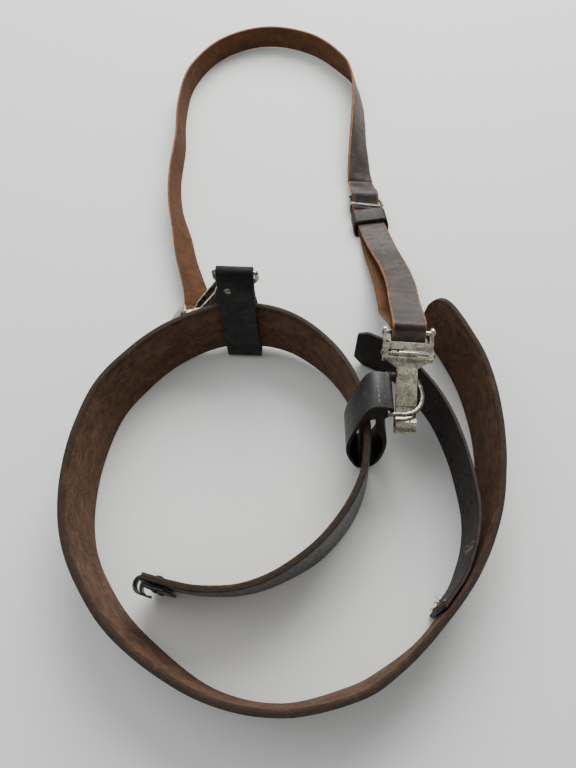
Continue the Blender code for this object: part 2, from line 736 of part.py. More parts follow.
def drilled_cheeks(name, empty):
    """Both side plates with their pin holes, as one cutting-free pair of bodies for a union."""
    made = []
    for side in (-1, 1):
        outline = [cheek_outline()]
        outline.append(circle((0.0, 0.0), STRAP_BAR_RADIUS + GAP, 12))
        outline.append(circle((GATE_PIN_U, GATE_PIN_N), GATE_PIN_RADIUS + GAP, 12))
        data = flat_outline(name, outline, CHEEK_THICKNESS / 2)
        shift = side * (HOUSING_HALF_WIDTH + CHEEK_THICKNESS / 2 - 0.2 * MM)
        data.transform(Matrix.Translation((0.0, 0.0, shift)))
        made.append(add_mesh(f"{name}_cheek_{side}", data, None, empty, cutter=True))
    return made


def blade_top_outline():
    """Seen from above, u against w: the broad housing, the neck and the narrow blade."""
    wide, narrow = HOUSING_HALF_WIDTH, BLADE_HALF_WIDTH
    half = [(4.0 * MM, wide), (18.2 * MM, wide), (19.6 * MM, wide - 3 * MM)]
    half += [(23.0 * MM, narrow), (65.0 * MM, narrow)]
    return half + [(u, -w) for u, w in half[::-1]]


def make_hook_body(name, empty):
    """Housing and blade bent from one sheet, with a slot over the gate pin."""
    line = smooth(scaled(BLADE_LINE[3:]), 2)
    line = scaled(BLADE_LINE[:3]) + line
    sheet = flat_outline(name, [sheet_outline(line, HOOK_SHEET)], HOUSING_HALF_WIDTH)
    body = add_mesh(name, sheet, "nickel", empty)
    outline = flat_outline(name + "_outline", [blade_top_outline()], 20 * MM)
    outline.transform(Matrix.Rotation(math.radians(90), 4, "X"))
    shape = add_mesh(name + "_outline", outline, None, empty, cutter=True)
    boolean(body, shape, "INTERSECT")
    for cheek in drilled_cheeks(name, empty):
        boolean(body, cheek, "UNION")
    slot = box_data(name + "_slot", (GATE_SLOT, 6 * MM, 24 * MM), (GATE_PIN_U, 3.2 * MM, 0.0))
    boolean(body, add_mesh(name + "_slot", slot, None, empty, cutter=True), "DIFFERENCE")
    bore = cylinder_data(name + "_bore", GATE_PIN_RADIUS + GAP, 36 * MM, 16)
    bore.transform(Matrix.Translation((GATE_PIN_U, GATE_PIN_N, 0.0)))
    boolean(body, add_mesh(name + "_bore", bore, None, empty, cutter=True), "DIFFERENCE")
    return body


def make_gate(name, empty):
    """The sprung gate under the blade: a barrel on its pin and a bent plate to the nose."""
    pivot = (GATE_PIN_U, GATE_PIN_N)
    plate = flat_outline(name, [sheet_outline(scaled(GATE_LINE), 1.0 * MM)], GATE_HALF_WIDTH)
    centred = Matrix.Translation((-pivot[0], -pivot[1], 0.0))
    plate.transform(centred)
    gate = add_mesh(name, plate, "nickel", empty)
    gate.matrix_local = Matrix.Translation((*pivot, 0.0))
    barrel = cylinder_data(name + "_barrel", GATE_BARREL_RADIUS, 2 * GATE_HALF_WIDTH, 16)
    boolean(gate, add_mesh(name + "_barrel", barrel, None, gate, cutter=True), "UNION")
    bore = cylinder_data(name + "_bore", GATE_PIN_RADIUS + GAP, 30 * MM, 16)
    boolean(gate, add_mesh(name + "_bore", bore, None, gate, cutter=True), "DIFFERENCE")
    return gate


def make_spring(name, empty):
    """A torsion spring round the gate pin, beside the gate's barrel."""
    wire = 0.35 * MM
    coil = GATE_PIN_RADIUS + GAP + wire + 0.1 * MM
    turns, per_turn, pitch = 4, 10, 0.95 * MM
    start = GATE_HALF_WIDTH + GAP + 2 * wire
    points = [(6.4 * MM, -5.6 * MM, 3.4 * MM), (5.6 * MM, -5.0 * MM, start)]
    for step in range(turns * per_turn + 1):
        angle = math.radians(-60 - 360 * step / per_turn)
        lift = start + pitch * step / per_turn
        points.append((coil * math.cos(angle), coil * math.sin(angle), lift))
    points.append((-6.5 * MM, -1.6 * MM, start + pitch * turns))
    data = wire_data(name, points, wire, sides=1)
    spring = add_mesh(name, data, "nickel", empty)
    spring.matrix_local = Matrix.Translation((GATE_PIN_U, GATE_PIN_N, 0.0))


def make_snap_hook(label, origin, to_nose, face):
    empty = hook_frame(label + "_hook_frame", origin, to_nose, face)
    make_hook_body(label + "_hook_body", empty)
    across_pin(label + "_hook_strap_bar", STRAP_BAR_RADIUS, BAR_HEAD_RADIUS, empty, (0.0, 0.0))
    pin_place = (GATE_PIN_U, GATE_PIN_N)
    across_pin(label + "_hook_gate_pin", GATE_PIN_RADIUS, 2.0 * MM, empty, pin_place)
    make_gate(label + "_hook_gate", empty)
    make_spring(label + "_hook_spring", empty)
    return empty


def band_sections(samples, width, thickness):
    """Sections of a strap from (centre, width direction) samples."""
    rings = []
    for i, (centre, across) in enumerate(samples):
        before = samples[max(i - 1, 0)][0]
        after = samples[min(i + 1, len(samples) - 1)][0]
        direction = (after - before).normalized()
        across = (across - direction * across.dot(direction)).normalized()
        face = across.cross(direction)
        half, thick = across * width / 2, face * thickness / 2
        below, above = centre - thick, centre + thick
        rings.append((below - half, below + half, above + half, above - half))
    return rings


def bar_turn(bar, across, outward, away, start, stop, reach_away=1.0, steps=8):
    """Points round a bar, from the side named outward through the side named away."""
    points = []
    for step in range(steps + 1):
        angle = math.radians(start + (stop - start) * step / steps)
        reach = outward * math.cos(angle) + away * math.sin(angle) * reach_away
        points.append((bar + reach * STRAP_TURN_RADIUS, across))
    return points


def blended(first, second, count):
    """The width direction turned evenly from one to the other over count samples."""
    return [first.lerp(second, step / max(count - 1, 1)).normalized() for step in range(count)]


def make_shoulder_strap(back_hook, front_hook):
    """One long strap: folded round the back hook's bar, up and round on edge, through the buckle
    and keeper, round the front hook's bar, and back below to the buckle's rear bar."""
    u_axis = back_hook.matrix_local.to_3x3().col[0]
    n_axis = back_hook.matrix_local.to_3x3().col[1]
    w_axis = back_hook.matrix_local.to_3x3().col[2]
    if w_axis.x > 0:
        w_axis = -w_axis
    samples = [
        (BACK_BAR - u_axis * 4.6 * MM - n_axis * 10.0 * MM, w_axis),
        (BACK_BAR - u_axis * 3.2 * MM - n_axis * 4.0 * MM, w_axis),
    ]
    samples += bar_turn(BACK_BAR, w_axis, n_axis, u_axis, -90, 105)
    samples.append((BACK_BAR + u_axis * 1.2 * MM - n_axis * 5.0 * MM, w_axis))

    route = smooth([(x, y, 0.0, angle) for x, y, angle in STRAP_ROUTE], 3)
    for i, (x, y, _, angle) in enumerate(route):
        direction = along(route, i)
        outward = Vector((-direction.y, direction.x, 0.0))
        turn = math.radians(angle)
        across = outward * math.cos(turn) + Vector((0.0, 0.0, 1.0)) * math.sin(turn)
        height = STRAP_WIDTH / 2 * abs(math.sin(turn)) + STRAP_THICKNESS / 2 * abs(math.cos(turn))
        samples.append((Vector((x * MM, y * MM, height + 0.2 * MM)), across))

    bar_axis = front_hook.matrix_local.to_3x3().col[2]
    if bar_axis.x > 0:
        bar_axis = -bar_axis
    nose = front_hook.matrix_local.to_3x3().col[0]
    face = front_hook.matrix_local.to_3x3().col[1]
    out = smooth(STRAP_OUT, 3)
    last = samples[-1][1]
    flat = blended(last, bar_axis, 3) + [bar_axis] * (len(out) - 3)
    for place, across in zip(out, flat):
        samples.append((Vector(place) * MM, across))
    samples.append((FRONT_BAR - nose * 6.0 * MM + face * 2.9 * MM, bar_axis))
    samples += bar_turn(FRONT_BAR, bar_axis, face, nose, 0, 180, FRONT_WRAP_REACH)
    samples.append((FRONT_BAR - nose * 6.0 * MM - face * 3.4 * MM + bar_axis * STRAP_ASKEW, bar_axis))
    rear_axis = buckle_axis()
    back = smooth(STRAP_BACK, 3)
    for place, across in zip(back, blended(bar_axis, rear_axis, len(back))):
        samples.append((Vector(place) * MM, across))
    forward = Vector((-rear_axis.y, rear_axis.x, 0.0))
    if forward.y < 0:
        forward = -forward
    up = Vector((0.0, 0.0, 1.0))
    reach = BUCKLE_WIRE_RADIUS + GAP + STRAP_THICKNESS / 2
    for step in range(10):
        angle = math.radians(-90 + 205 * step / 9)
        place = BUCKLE_REAR + (forward * math.cos(angle) + up * math.sin(angle)) * reach
        samples.append((place, rear_axis))
    data = loft("shoulder_strap", band_sections(samples, STRAP_WIDTH, STRAP_THICKNESS))
    return add_mesh("shoulder_strap", data, "strap_leather")


def buckle_axis():
    return -BUCKLE_BAR_AXIS.normalized()


def make_buckle():
    """A wire frame, its rear bar in the strap's folded end and its front bar raised. It is a
    little out of square, as a bent wire frame is."""
    axis = -buckle_axis()
    depth = BUCKLE_TO_FRONT.length
    side = BUCKLE_TO_FRONT.normalized()
    matrix = axes_matrix(BUCKLE_REAR, axis, side, axis.cross(side).normalized())
    half, corner = BUCKLE_WIDTH / 2, 2.2 * MM
    points = arc((half - corner, corner), corner, -90, 0, 3)
    points += arc((half - corner, depth - corner), corner, 0, 90, 3)
    points += arc((-half + corner, depth - corner), corner, 90, 180, 3)
    points += arc((-half + corner, corner), corner, 180, 270, 3)
    placed = [matrix @ Vector((x, y, 0.0)) - BUCKLE_REAR for x, y in points]
    wire = wire_data("buckle_frame", placed, BUCKLE_WIRE_RADIUS, True)
    frame = add_mesh("buckle_frame", wire, "nickel")
    frame.matrix_local = Matrix.Translation(BUCKLE_REAR)


def make_keeper():
    """A leather sleeve round both layers of the strap, pushed askew: its top lies further back."""
    outside = [(-13.2, 1.4), (-12.0, 0.1), (12.0, 0.1), (13.2, 1.4), (13.7, 5.0), (12.8, 8.6)]
    outside += [(11.0, 10.0), (-11.0, 10.0), (-12.8, 8.6), (-13.7, 5.0)]
    inside = [(-11.9, 1.5), (11.9, 1.5), (12.3, 5.0), (11.4, 8.6), (-11.4, 8.6), (-12.3, 5.0)]
    data = flat_outline("strap_keeper", [scaled(outside), scaled(inside)], 5.2 * MM)
    heading = Vector((0.16, -0.987, 0.0)).normalized()
    side = Vector((-heading.y, heading.x, 0.0))
    turn = Matrix((side, Vector((0.0, 0.0, 1.0)) + KEEPER_LEAN, heading)).transposed()
    data.transform(turn.to_4x4())
    keeper = add_mesh("strap_keeper", data, "strap_leather")
    keeper.matrix_local = Matrix.Translation(KEEPER_AT)


clear_scene()
PARTS = new_collection("belt_with_shoulder_strap")
CUTTERS = new_collection("cutters", hidden=True)
FRAME = bpy.data.objects.new("table_frame", None)
FRAME.location = -ORIGIN_IN_TABLE
PARTS.objects.link(FRAME)

make_belt()
make_belt_hook()
make_tongue()
make_thread()
back_empty, back_turn = make_loop(
    "back_loop",
    BACK_LOOP_AT,
    BACK_LOOP_OUTSIDE,
    BACK_LOOP_INSIDE,
    BACK_RING_BAR,
    (4.1, 62.8, -5.0),
    -18,
    BACK_LOOP_SLANT,
)
make_ring("back_ring", back_empty, back_turn, BACK_RING_BAR, -75.4)
front_empty, front_turn = make_loop(
    "front_loop",
    FRONT_LOOP_AT,
    FRONT_LOOP_OUTSIDE,
    FRONT_LOOP_INSIDE,
    FRONT_RING_BAR,
    (6.75, 47.0, 0.0),
    0,
    FRONT_LOOP_SLANT,
    5.0 * MM,
)
make_ring("front_ring", front_empty, front_turn, FRONT_RING_BAR, -5)
front_hook_empty = make_snap_hook("front", FRONT_BAR, FRONT_HOOK_TO_NOSE, FRONT_HOOK_FACE)
back_hook_empty = make_snap_hook("back", BACK_BAR, BACK_HOOK_TO_NOSE, BACK_HOOK_FACE)
bpy.context.view_layer.update()
make_shoulder_strap(back_hook_empty, front_hook_empty)
make_buckle()
make_keeper()
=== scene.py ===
"""The looks of a leather waist belt with a shoulder strap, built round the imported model. Metres."""

import math
import random

import bmesh
import bpy
from mathutils import Matrix, Vector, noise


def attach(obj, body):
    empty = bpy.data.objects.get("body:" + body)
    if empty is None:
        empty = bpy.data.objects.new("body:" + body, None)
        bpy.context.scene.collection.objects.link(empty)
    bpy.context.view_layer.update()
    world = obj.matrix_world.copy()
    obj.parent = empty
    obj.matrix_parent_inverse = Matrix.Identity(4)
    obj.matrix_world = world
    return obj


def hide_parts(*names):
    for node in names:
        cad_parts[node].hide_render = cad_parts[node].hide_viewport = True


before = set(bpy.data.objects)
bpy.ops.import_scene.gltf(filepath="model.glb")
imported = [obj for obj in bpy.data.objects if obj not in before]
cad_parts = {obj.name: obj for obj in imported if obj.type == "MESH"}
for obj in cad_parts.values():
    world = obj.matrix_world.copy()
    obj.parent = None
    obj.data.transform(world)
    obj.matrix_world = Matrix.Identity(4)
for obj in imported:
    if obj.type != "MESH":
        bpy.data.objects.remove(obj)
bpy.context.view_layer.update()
random.seed(11)

MM = 0.001
# The routes below are in millimetres in the table's frame, as in the design. This moves them to
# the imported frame.
SHIFT = Vector((1.285, -153.39, 0.0)) * MM

BELT_WIDTH = 45.0 * MM
BELT_THICKNESS = 4.2 * MM
BELT_TIP_LENGTH = 20.0 * MM
TONGUE_WIDTH = 43.0 * MM
TONGUE_THICKNESS = 2.5 * MM
TONGUE_HOLE_RADIUS = 1.7 * MM
TONGUE_HOLE_ROWS = (10.0 * MM, 31.0 * MM)
TONGUE_FIRST_HOLE = 50.0 * MM
TONGUE_HOLE_PITCH = 17.3 * MM
TONGUE_HOLE_PAIRS = 6
TONGUE_GAP = 0.9 * MM
TONGUE_CLIPPED_CORNER = 6.3 * MM
STRAP_WIDTH = 20.5 * MM
STRAP_THICKNESS = 2.0 * MM
STRAP_TURN_RADIUS = 2.9 * MM
HOLE_CUTTER_DEPTH = 9.0 * MM
# Round the front bar the strap reaches further towards the plate, and its lower run lies askew
FRONT_WRAP_REACH = 1.8
STRAP_ASKEW = 1.6 * MM
LOOP_WIDTH = 23.0 * MM

# Camera: where it stands, how far it looks down from level, and its lens on a 36 mm long side.
CAMERA_PLACE = Vector((0.0, -117.7, 435.0)) * MM + SHIFT
CAMERA_DOWN = 64.5
CAMERA_LENS = 32.8

# Middle line of the belt: x, y, how far the top edge leans outwards, lift off the table.
BELT_ROUTE = (
    (-80, -45.7, 3.5, 0.0), (-65, -49.6, 4.0, 0.0),
    (-48, -52.3, 4.5, 0.0), (-26, -51.3, 4.0, 0.0), (-5, -44.0, 2.0, 0.0),
    (18, -29.0, -1.5, 0.0), (36, -8.0, -3.0, 0.4), (46, 14.0, -3.0, 2.2), (48.8, 38.0, -2.5, 2.6),
    (44.8, 65.4, -2.0, 2.3), (31, 92.5, 0.0, 0.8), (7, 113.4, 2.4, 1.8), (-18, 121.6, 4.0, 2.6),
    (-46, 121.0, 4.5, 2.6), (-75, 109.5, 5.5, 0.6), (-98, 90.0, 7.0, 0.0), (-117, 63.0, 8.0, 0.0),
    (-127, 20.0, 8.0, 0.0), (-124, -22.0, 7.0, 0.0), (-107, -56.0, 7.5, 0.0),
    (-83, -81.5, 8.0, 0.0), (-44, -106.3, 4.5, 0.0), (-4, -114.2, 4.0, 0.0),
    (34, -106.5, 5.0, 0.0), (56, -95.0, 3.0, 0.0), (80, -75.3, -0.5, 0.0), (103, -46.5, 1.0, 0.0),
    (118, -15.0, 2.5, 0.0), (124.5, 17.0, 4.5, 0.0), (126, 50.0, 5.5, 0.0), (121.5, 83.0, 7.0, 0.0),
    (112, 108.8, 7.0, 0.0), (101.5, 128.5, 7.0, 0.0),
)
TONGUE_SEWN = ((89, -65), (97, -55), (104, -45))
TONGUE_ROUTE = (
    (106.8, -26.0), (110.0, -8.0), (109.0, 10.0), (105.0, 34.0),
    (96.5, 59.5), (84.0, 79.5), (68.0, 96.5), (46.0, 108.8),
)
# The shoulder strap round the table: x, y, the angle of its width over the table.
STRAP_ROUTE = (
    (-64.2, 147.0, 30), (-66.4, 160.0, 36), (-71, 175.0, 43), (-75.4, 190.0, 48),
    (-79.5, 210.0, 55), (-86, 236.0, 67), (-88.3, 265.0, 74), (-86.5, 300.0, 77),
    (-87.5, 334.0, 80), (-82, 372.0, 84), (-62, 404.0, 90), (-34, 420.5, 92), (-6, 423.0, 92),
    (24, 412.0, 90), (46, 390.0, 94), (55.3, 372.0, 106), (58.2, 350.0, 117), (58, 330.0, 124),
    (57, 310.0, 131), (56.6, 290.0, 143), (56.4, 274.0, 155), (57.2, 264.0, 168),
)
# From the buckle to the front hook, and back below: x, y, z.
STRAP_OUT = (
    (58.6, 256.0, 7.0), (59.6, 248.8, 9.1), (60.0, 242.0, 6.3), (60.2, 237.0, 5.4),
    (61.6, 229.0, 5.9), (65.0, 215.0, 6.6), (70.6, 197.0, 8.6), (75.6, 176.0, 17.0),
    (77.2, 152.0, 31.0), (76.0, 128.0, 45.5),
)
STRAP_BACK = (
    (70.8, 124.0, 35.5), (70.9, 150.0, 21.5), (69.8, 174.0, 10.0), (66.6, 197.0, 4.4),
    (64.4, 215.0, 3.2), (61.8, 228.0, 3.0), (58.4, 238.7, 1.7),
)
BACK_LOOP_AT = Vector((-29.4, 121.8, 0.0)) * MM
BACK_LOOP_SLANT = 0.055
FRONT_LOOP_AT = Vector((48.4, 41.0, 0.0)) * MM
FRONT_LOOP_SLANT = 0.25
FRONT_LOOP_SKEW = 5.0 * MM
BACK_RING_BAR = (9.5, 73.4)
FRONT_RING_BAR = (10.8, 58.0)
RING_HOLE_RADIUS = 1.8
BACK_LOOP_OUTSIDE = (
    (-6.5, 0.3), (-1.0, 0.2), (3.6, 0.7), (6.4, 7), (7.3, 22), (7.7, 36), (7.5, 46),
    (6.6, 51.2), (5.0, 56), (7.0, 64.0), (10.0, 69.2), (13.0, 71.9), (12.9, 75.1), (10.6, 76.9),
    (7.6, 76.4), (5.6, 73.6), (2.6, 66.0), (-0.8, 57), (-4.2, 48), (-6.4, 36), (-8.4, 22),
    (-11.0, 7.5), (-10.6, 1.8),
)
BACK_LOOP_INSIDE = (
    (-5.5, 2.1), (-1.0, 2.1), (3.0, 2.3), (4.6, 8), (5.3, 22), (5.7, 36), (5.6, 46),
    (4.4, 50.6), (1.2, 52.2), (-1.8, 47.6), (-4.3, 36), (-6.3, 22), (-8.9, 9), (-8.4, 3.2),
)
FRONT_LOOP_OUTSIDE = (
    (-4.2, 0.6), (0.0, 0.2), (4.6, 0.7), (9.8, 7.6), (12.6, 20), (12.4, 31), (9.6, 41.8),
    (8.9, 50.4), (12.2, 54.0), (13.9, 57.8), (13.0, 60.6), (10.3, 61.5), (5.0, 62.6),
    (0.5, 61.4), (-4.8, 56.2), (-9.4, 47.0), (-12.6, 33.5), (-12.0, 21), (-8.2, 8),
)
FRONT_LOOP_INSIDE = (
    (-3.4, 2.1), (0.0, 2.1), (4.2, 2.1), (8.0, 8.6), (10.5, 20.5), (9.6, 30.5), (5.6, 39),
    (4.4, 44.5), (4.3, 49.5), (1.2, 51.6), (-2.2, 51.6), (-5.4, 49.8), (-7.6, 44.4), (-10.5, 33.0),
    (-10.0, 21.5), (-6.6, 9.5),
)
FRONT_BAR = Vector((73.0, 93.2, 65.6)) * MM
FRONT_HOOK_TO_NOSE = Vector((-0.066, -0.977, -0.203))
FRONT_HOOK_FACE = Vector((0.0, 0.0, 1.0))
BACK_BAR = Vector((-66.6, 129.1, 11.7)) * MM
BACK_HOOK_TO_NOSE = Vector((0.585, 0.048, 0.9))
BACK_HOOK_FACE = Vector((0.279, -0.97, 0.234))
BUCKLE_REAR = Vector((59.6, 248.6, 3.8)) * MM
BUCKLE_BAR_AXIS = Vector((0.99, -0.139, 0.0))
BUCKLE_WRAP_RADIUS = 2.55 * MM
KEEPER_AT = Vector((63.2, 221.2, 0.0)) * MM
KEEPER_AHEAD = Vector((0.16, -0.987, 0.0))
KEEPER_LEAN = Vector((-0.14, 0.7, 0.0))
KEEPER_HALF_LENGTH = 5.2 * MM
KEEPER_OUTSIDE = (
    (-13.2, 1.4), (-12.0, 0.1), (12.0, 0.1), (13.2, 1.4), (13.7, 5.0), (12.8, 8.6),
    (11.0, 10.0), (-11.0, 10.0), (-12.8, 8.6), (-13.7, 5.0),
)
KEEPER_INSIDE = (
    (-11.9, 1.5), (11.9, 1.5), (12.3, 5.0), (11.4, 8.6), (-11.4, 8.6), (-12.3, 5.0),
)
SEAM_THREAD_RADIUS = 0.38 * MM
LOOSE_THREAD_RADIUS = 0.16 * MM
STITCH_RADIUS = 0.3 * MM
STITCH_COUNT = 6
# Where the front loop's stitches lie in its outline: across and up.
STITCH_AT = (5.0 * MM, 62.45 * MM)
# How quickly a strap's unevenness changes along it, across it and through it, per metre.
WEAR_SCALE = (60.0, 90.0, 300.0)
UP = Vector((0.0, 0.0, 1.0))


# ---------------------------------------------------------------- node helpers


class Shade:
    """A node material under construction."""

    def __init__(self, name):
        self.material = bpy.data.materials.new(name)
        self.material.use_nodes = True
        self.tree = self.material.node_tree
        self.shader = self.tree.nodes["Principled BSDF"]

    def add(self, kind, inputs=None, **settings):
        made = self.tree.nodes.new("ShaderNode" + kind)
        for key, value in settings.items():
            setattr(made, key, value)
        for key, value in (inputs or {}).items():
            self.feed(made.inputs[key], value)
        return made

    def feed(self, socket, value):
        if isinstance(value, bpy.types.NodeSocket):
            self.tree.links.new(value, socket)
        else:
            socket.default_value = value

    def attribute(self, name):
        return self.add("Attribute", attribute_name=name).outputs["Fac"]

    def maths(self, operation, first, second=0.0):
        return self.add("Math", {0: first, 1: second}, operation=operation).outputs[0]

    def spread(self, value, low, high, out_low=0.0, out_high=1.0):
        """value from low..high to out_low..out_high, held at the ends and eased."""
        made = self.add("MapRange", interpolation_type="SMOOTHSTEP")
        for key, number in zip(range(5), (value, low, high, out_low, out_high)):
            self.feed(made.inputs[key], number)
        return made.outputs[0]

    def mix(self, factor, first, second):
        made = self.add("Mix", {0: factor, 6: first, 7: second}, data_type="RGBA")
        return made.outputs[2]

    def blend(self, factor, first, second):
        made = self.add("Mix", {0: factor, 2: first, 3: second}, data_type="FLOAT")
        return made.outputs[0]

    def ramp(self, value, stops):
        made = self.add("ValToRGB", {0: value})
        elements = made.color_ramp.elements
        while len(elements) < len(stops):
            elements.new(0.5)
        for element, (at, colour) in zip(elements, stops):
            element.position = at
            element.color = (*colour, 1.0)
        return made.outputs[0]

    def noise(self, place, scale, detail=4.0, rough=0.55, warp=0.0):
        inputs = {"Vector": place, "Scale": scale, "Detail": detail, "Roughness": rough}
        inputs["Distortion"] = warp
        return self.add("TexNoise", inputs).outputs[0]

    def cells(self, place, scale, feature="F1"):
        made = self.add("TexVoronoi", {"Vector": place, "Scale": scale}, feature=feature)
        return made.outputs["Distance"]

    def stretched(self, place, factors):
        made = self.add("VectorMath", {0: place, 1: factors}, operation="MULTIPLY")
        return made.outputs[0]

    def finish(self, colour, roughness, height, depth, strength=1.0):
        self.feed(self.shader.inputs["Base Color"], colour)
        self.feed(self.shader.inputs["Roughness"], roughness)
        bump = self.add("Bump", {"Height": height, "Strength": strength, "Distance": depth})
        self.tree.links.new(bump.outputs[0], self.shader.inputs["Normal"])
        return self.material


# ---------------------------------------------------------------- leather and thread


def strap_shader(name, look):
    """Leather with a grain side, a flesh side and cut edges, told apart by the mesh's own
    attributes: along and across in metres, side from -1 (flesh) to 1 (grain), rim to the edge."""
    s = Shade(name)
    along, across = s.attribute("along"), s.attribute("across")
    side, rim = s.attribute("side"), s.attribute("rim")
    place = s.add("CombineXYZ", {0: along, 1: across, 2: s.maths("MULTIPLY", side, 0.003)}).outputs[0]
    broad = s.noise(place, 38.0, 5.0, 0.62, 0.4)
    patch = s.noise(place, 150.0, 6.0, 0.65, 0.6)
    fine = s.noise(place, 1100.0, 5.0, 0.7)
    fibre = s.noise(s.stretched(place, (0.45, 1.6, 1.0)), 620.0, 5.0, 0.7, 0.5)
    pores = s.cells(place, 1500.0)
    creases = s.noise(s.stretched(place, (4.0, 0.55, 1.0)), 105.0, 4.0, 0.6, 1.4)

    tone = s.maths("ADD", s.maths("MULTIPLY", broad, 0.6), s.maths("MULTIPLY", patch, 0.4))
    grain = s.ramp(tone, ((0.42, look["grain"][0]), (0.58, look["grain"][1])))
    scuff = s.spread(s.maths("ADD", patch, s.maths("MULTIPLY", fibre, 0.25)), 0.66, 0.80)
    grain = s.mix(s.maths("MULTIPLY", scuff, look["scuff"]), grain, (*look["worn"], 1.0))
    # Painted shade: the grain is darkened towards its darkest colour in the creases, which the bump also
    # sinks and which are made a little rougher.
    shaded_crease = s.spread(creases, 0.48, 0.38)
    grain = s.mix(s.maths("MULTIPLY", shaded_crease, 0.55), grain, (*look["grain"][0], 1.0))

    mottle = s.maths("ADD", s.maths("MULTIPLY", patch, 0.55), s.maths("MULTIPLY", fibre, 0.45))
    flesh = s.ramp(mottle, tuple(zip((0.40, 0.50, 0.61), look["flesh"])))
    flesh = s.mix(s.spread(broad, 0.42, 0.66, 0.0, 0.35), flesh, (*look["flesh"][2], 1.0))
    # Painted shade: the flesh side is darkened in its wrinkles, which the bump also sinks. The same dark
    # colour along the rim, below, is dye bled in from the edges.
    shaded_wrinkle = s.noise(s.stretched(place, (1.0, 1.5, 1.0)), 190.0, 3.0, 0.6, 1.6)
    shaded_wrinkle = s.spread(s.maths("ABSOLUTE", s.maths("SUBTRACT", shaded_wrinkle, 0.5)), 0.035, 0.0)
    flesh = s.mix(s.maths("MULTIPLY", shaded_wrinkle, 0.5), flesh, (*look["stain_and_shade"], 1.0))
    wander = s.maths("ADD", rim, s.maths("MULTIPLY", s.maths("SUBTRACT", patch, 0.5), 0.007))
    bleed = s.spread(wander, look["bleed"], 0.0)
    flesh = s.mix(s.maths("MULTIPLY", bleed, 0.8), flesh, (*look["stain_and_shade"], 1.0))

    edge = s.ramp(s.noise(place, 240.0, 5.0, 0.65), tuple(zip((0.40, 0.62), look["edge"])))
    frayed = s.maths("ADD", rim, s.maths("MULTIPLY", s.maths("SUBTRACT", patch, 0.5), 0.003))
    unworn = s.spread(frayed, look["fray"], look["fray"] + 0.0005)
    is_grain = s.maths("MULTIPLY", s.spread(side, 0.62, 0.93), unworn)
    is_flesh = s.spread(side, *look["flesh_from"])
    colour = s.mix(is_flesh, s.mix(is_grain, edge, grain), flesh)

    gloss = s.maths("ADD", s.maths("MULTIPLY", patch, 0.22), look["gloss"])
    gloss = s.maths("ADD", gloss, s.maths("MULTIPLY", shaded_crease, 0.12))
    roughness = s.blend(is_flesh, s.blend(is_grain, 0.62, gloss), 0.88)
    smooth_side = s.maths("ADD", s.maths("MULTIPLY", pores, 0.35), s.maths("MULTIPLY", creases, 0.9))
    rough_side = s.maths("ADD", s.maths("MULTIPLY", fibre, 1.1), s.maths("MULTIPLY", patch, 0.9))
    rough_side = s.maths("SUBTRACT", rough_side, s.maths("MULTIPLY", shaded_wrinkle, 0.35))
    height = s.blend(is_flesh, s.blend(is_grain, fine, smooth_side), rough_side)
    s.shader.inputs["Specular IOR Level"].default_value = look["specular"]
    return s.finish(colour, roughness, height, look["depth"], 0.85)


def block_shader(name, look):
    """Leather for the cut and folded pieces: grain all over, raw colour where raw is 1."""
    s = Shade(name)
    place = s.add("TexCoord").outputs["Object"]
    raw = s.attribute("raw")
    broad = s.noise(place, 60.0, 5.0, 0.6, 0.5)
    patch = s.noise(place, 260.0, 6.0, 0.65, 0.5)
    fine = s.noise(place, 1500.0, 4.0, 0.7)
    pores = s.cells(place, 1400.0)
    creases = s.noise(s.stretched(place, (0.7, 0.7, 3.0)), 130.0, 4.0, 0.6, 1.2)
    grain = s.ramp(broad, ((0.38, look["grain"][0]), (0.66, look["grain"][1])))
    scuff = s.spread(s.maths("ADD", patch, s.maths("MULTIPLY", fine, 0.25)), 0.70, 0.88)
    grain = s.mix(s.maths("MULTIPLY", scuff, look["scuff"]), grain, (*look["worn"], 1.0))
    edge = s.ramp(patch, tuple(zip((0.42, 0.62), look["edge"])))
    colour = s.mix(raw, grain, edge)
    gloss = s.maths("ADD", s.maths("MULTIPLY", patch, 0.3), look["gloss"])
    roughness = s.blend(raw, gloss, 0.75)
    height = s.maths("ADD", s.maths("MULTIPLY", pores, 0.4), s.maths("MULTIPLY", creases, 0.8))
    s.shader.inputs["Specular IOR Level"].default_value = look["specular"]
    return s.finish(colour, roughness, s.blend(raw, height, fine), look["depth"], 0.8)


# In the leather looks, the flesh side's dark colour is dye bled in from its edges, and is also painted
# shade in its wrinkles.
BELT_LOOK = {
    "grain": ((0.009, 0.007, 0.005), (0.034, 0.025, 0.018)),
    "worn": (0.12, 0.085, 0.055),
    "scuff": 0.5,
    "flesh": ((0.038, 0.0165, 0.0080), (0.090, 0.041, 0.0195), (0.160, 0.080, 0.040)),
    "flesh_from": (0.30, -0.35),
    "stain_and_shade": (0.026, 0.014, 0.008),
    "bleed": 0.0040,
    "edge": ((0.007, 0.007, 0.005), (0.030, 0.017, 0.010)),
    "fray": -0.002,
    "gloss": 0.27,
    "specular": 0.38,
    "depth": 0.00060,
}
STRAP_LOOK = {
    "grain": ((0.011, 0.007, 0.006), (0.044, 0.030, 0.022)),
    "worn": (0.11, 0.070, 0.045),
    "scuff": 0.5,
    "flesh": ((0.045, 0.017, 0.0065), (0.084, 0.031, 0.0100), (0.125, 0.049, 0.0165)),
    "flesh_from": (-0.62, -0.93),
    "stain_and_shade": (0.070, 0.034, 0.014),
    "bleed": 0.0016,
    "edge": ((0.13, 0.045, 0.010), (0.31, 0.115, 0.028)),
    "fray": 0.0006,
    "gloss": 0.34,
    "specular": 0.36,
    "depth": 0.00030,
}
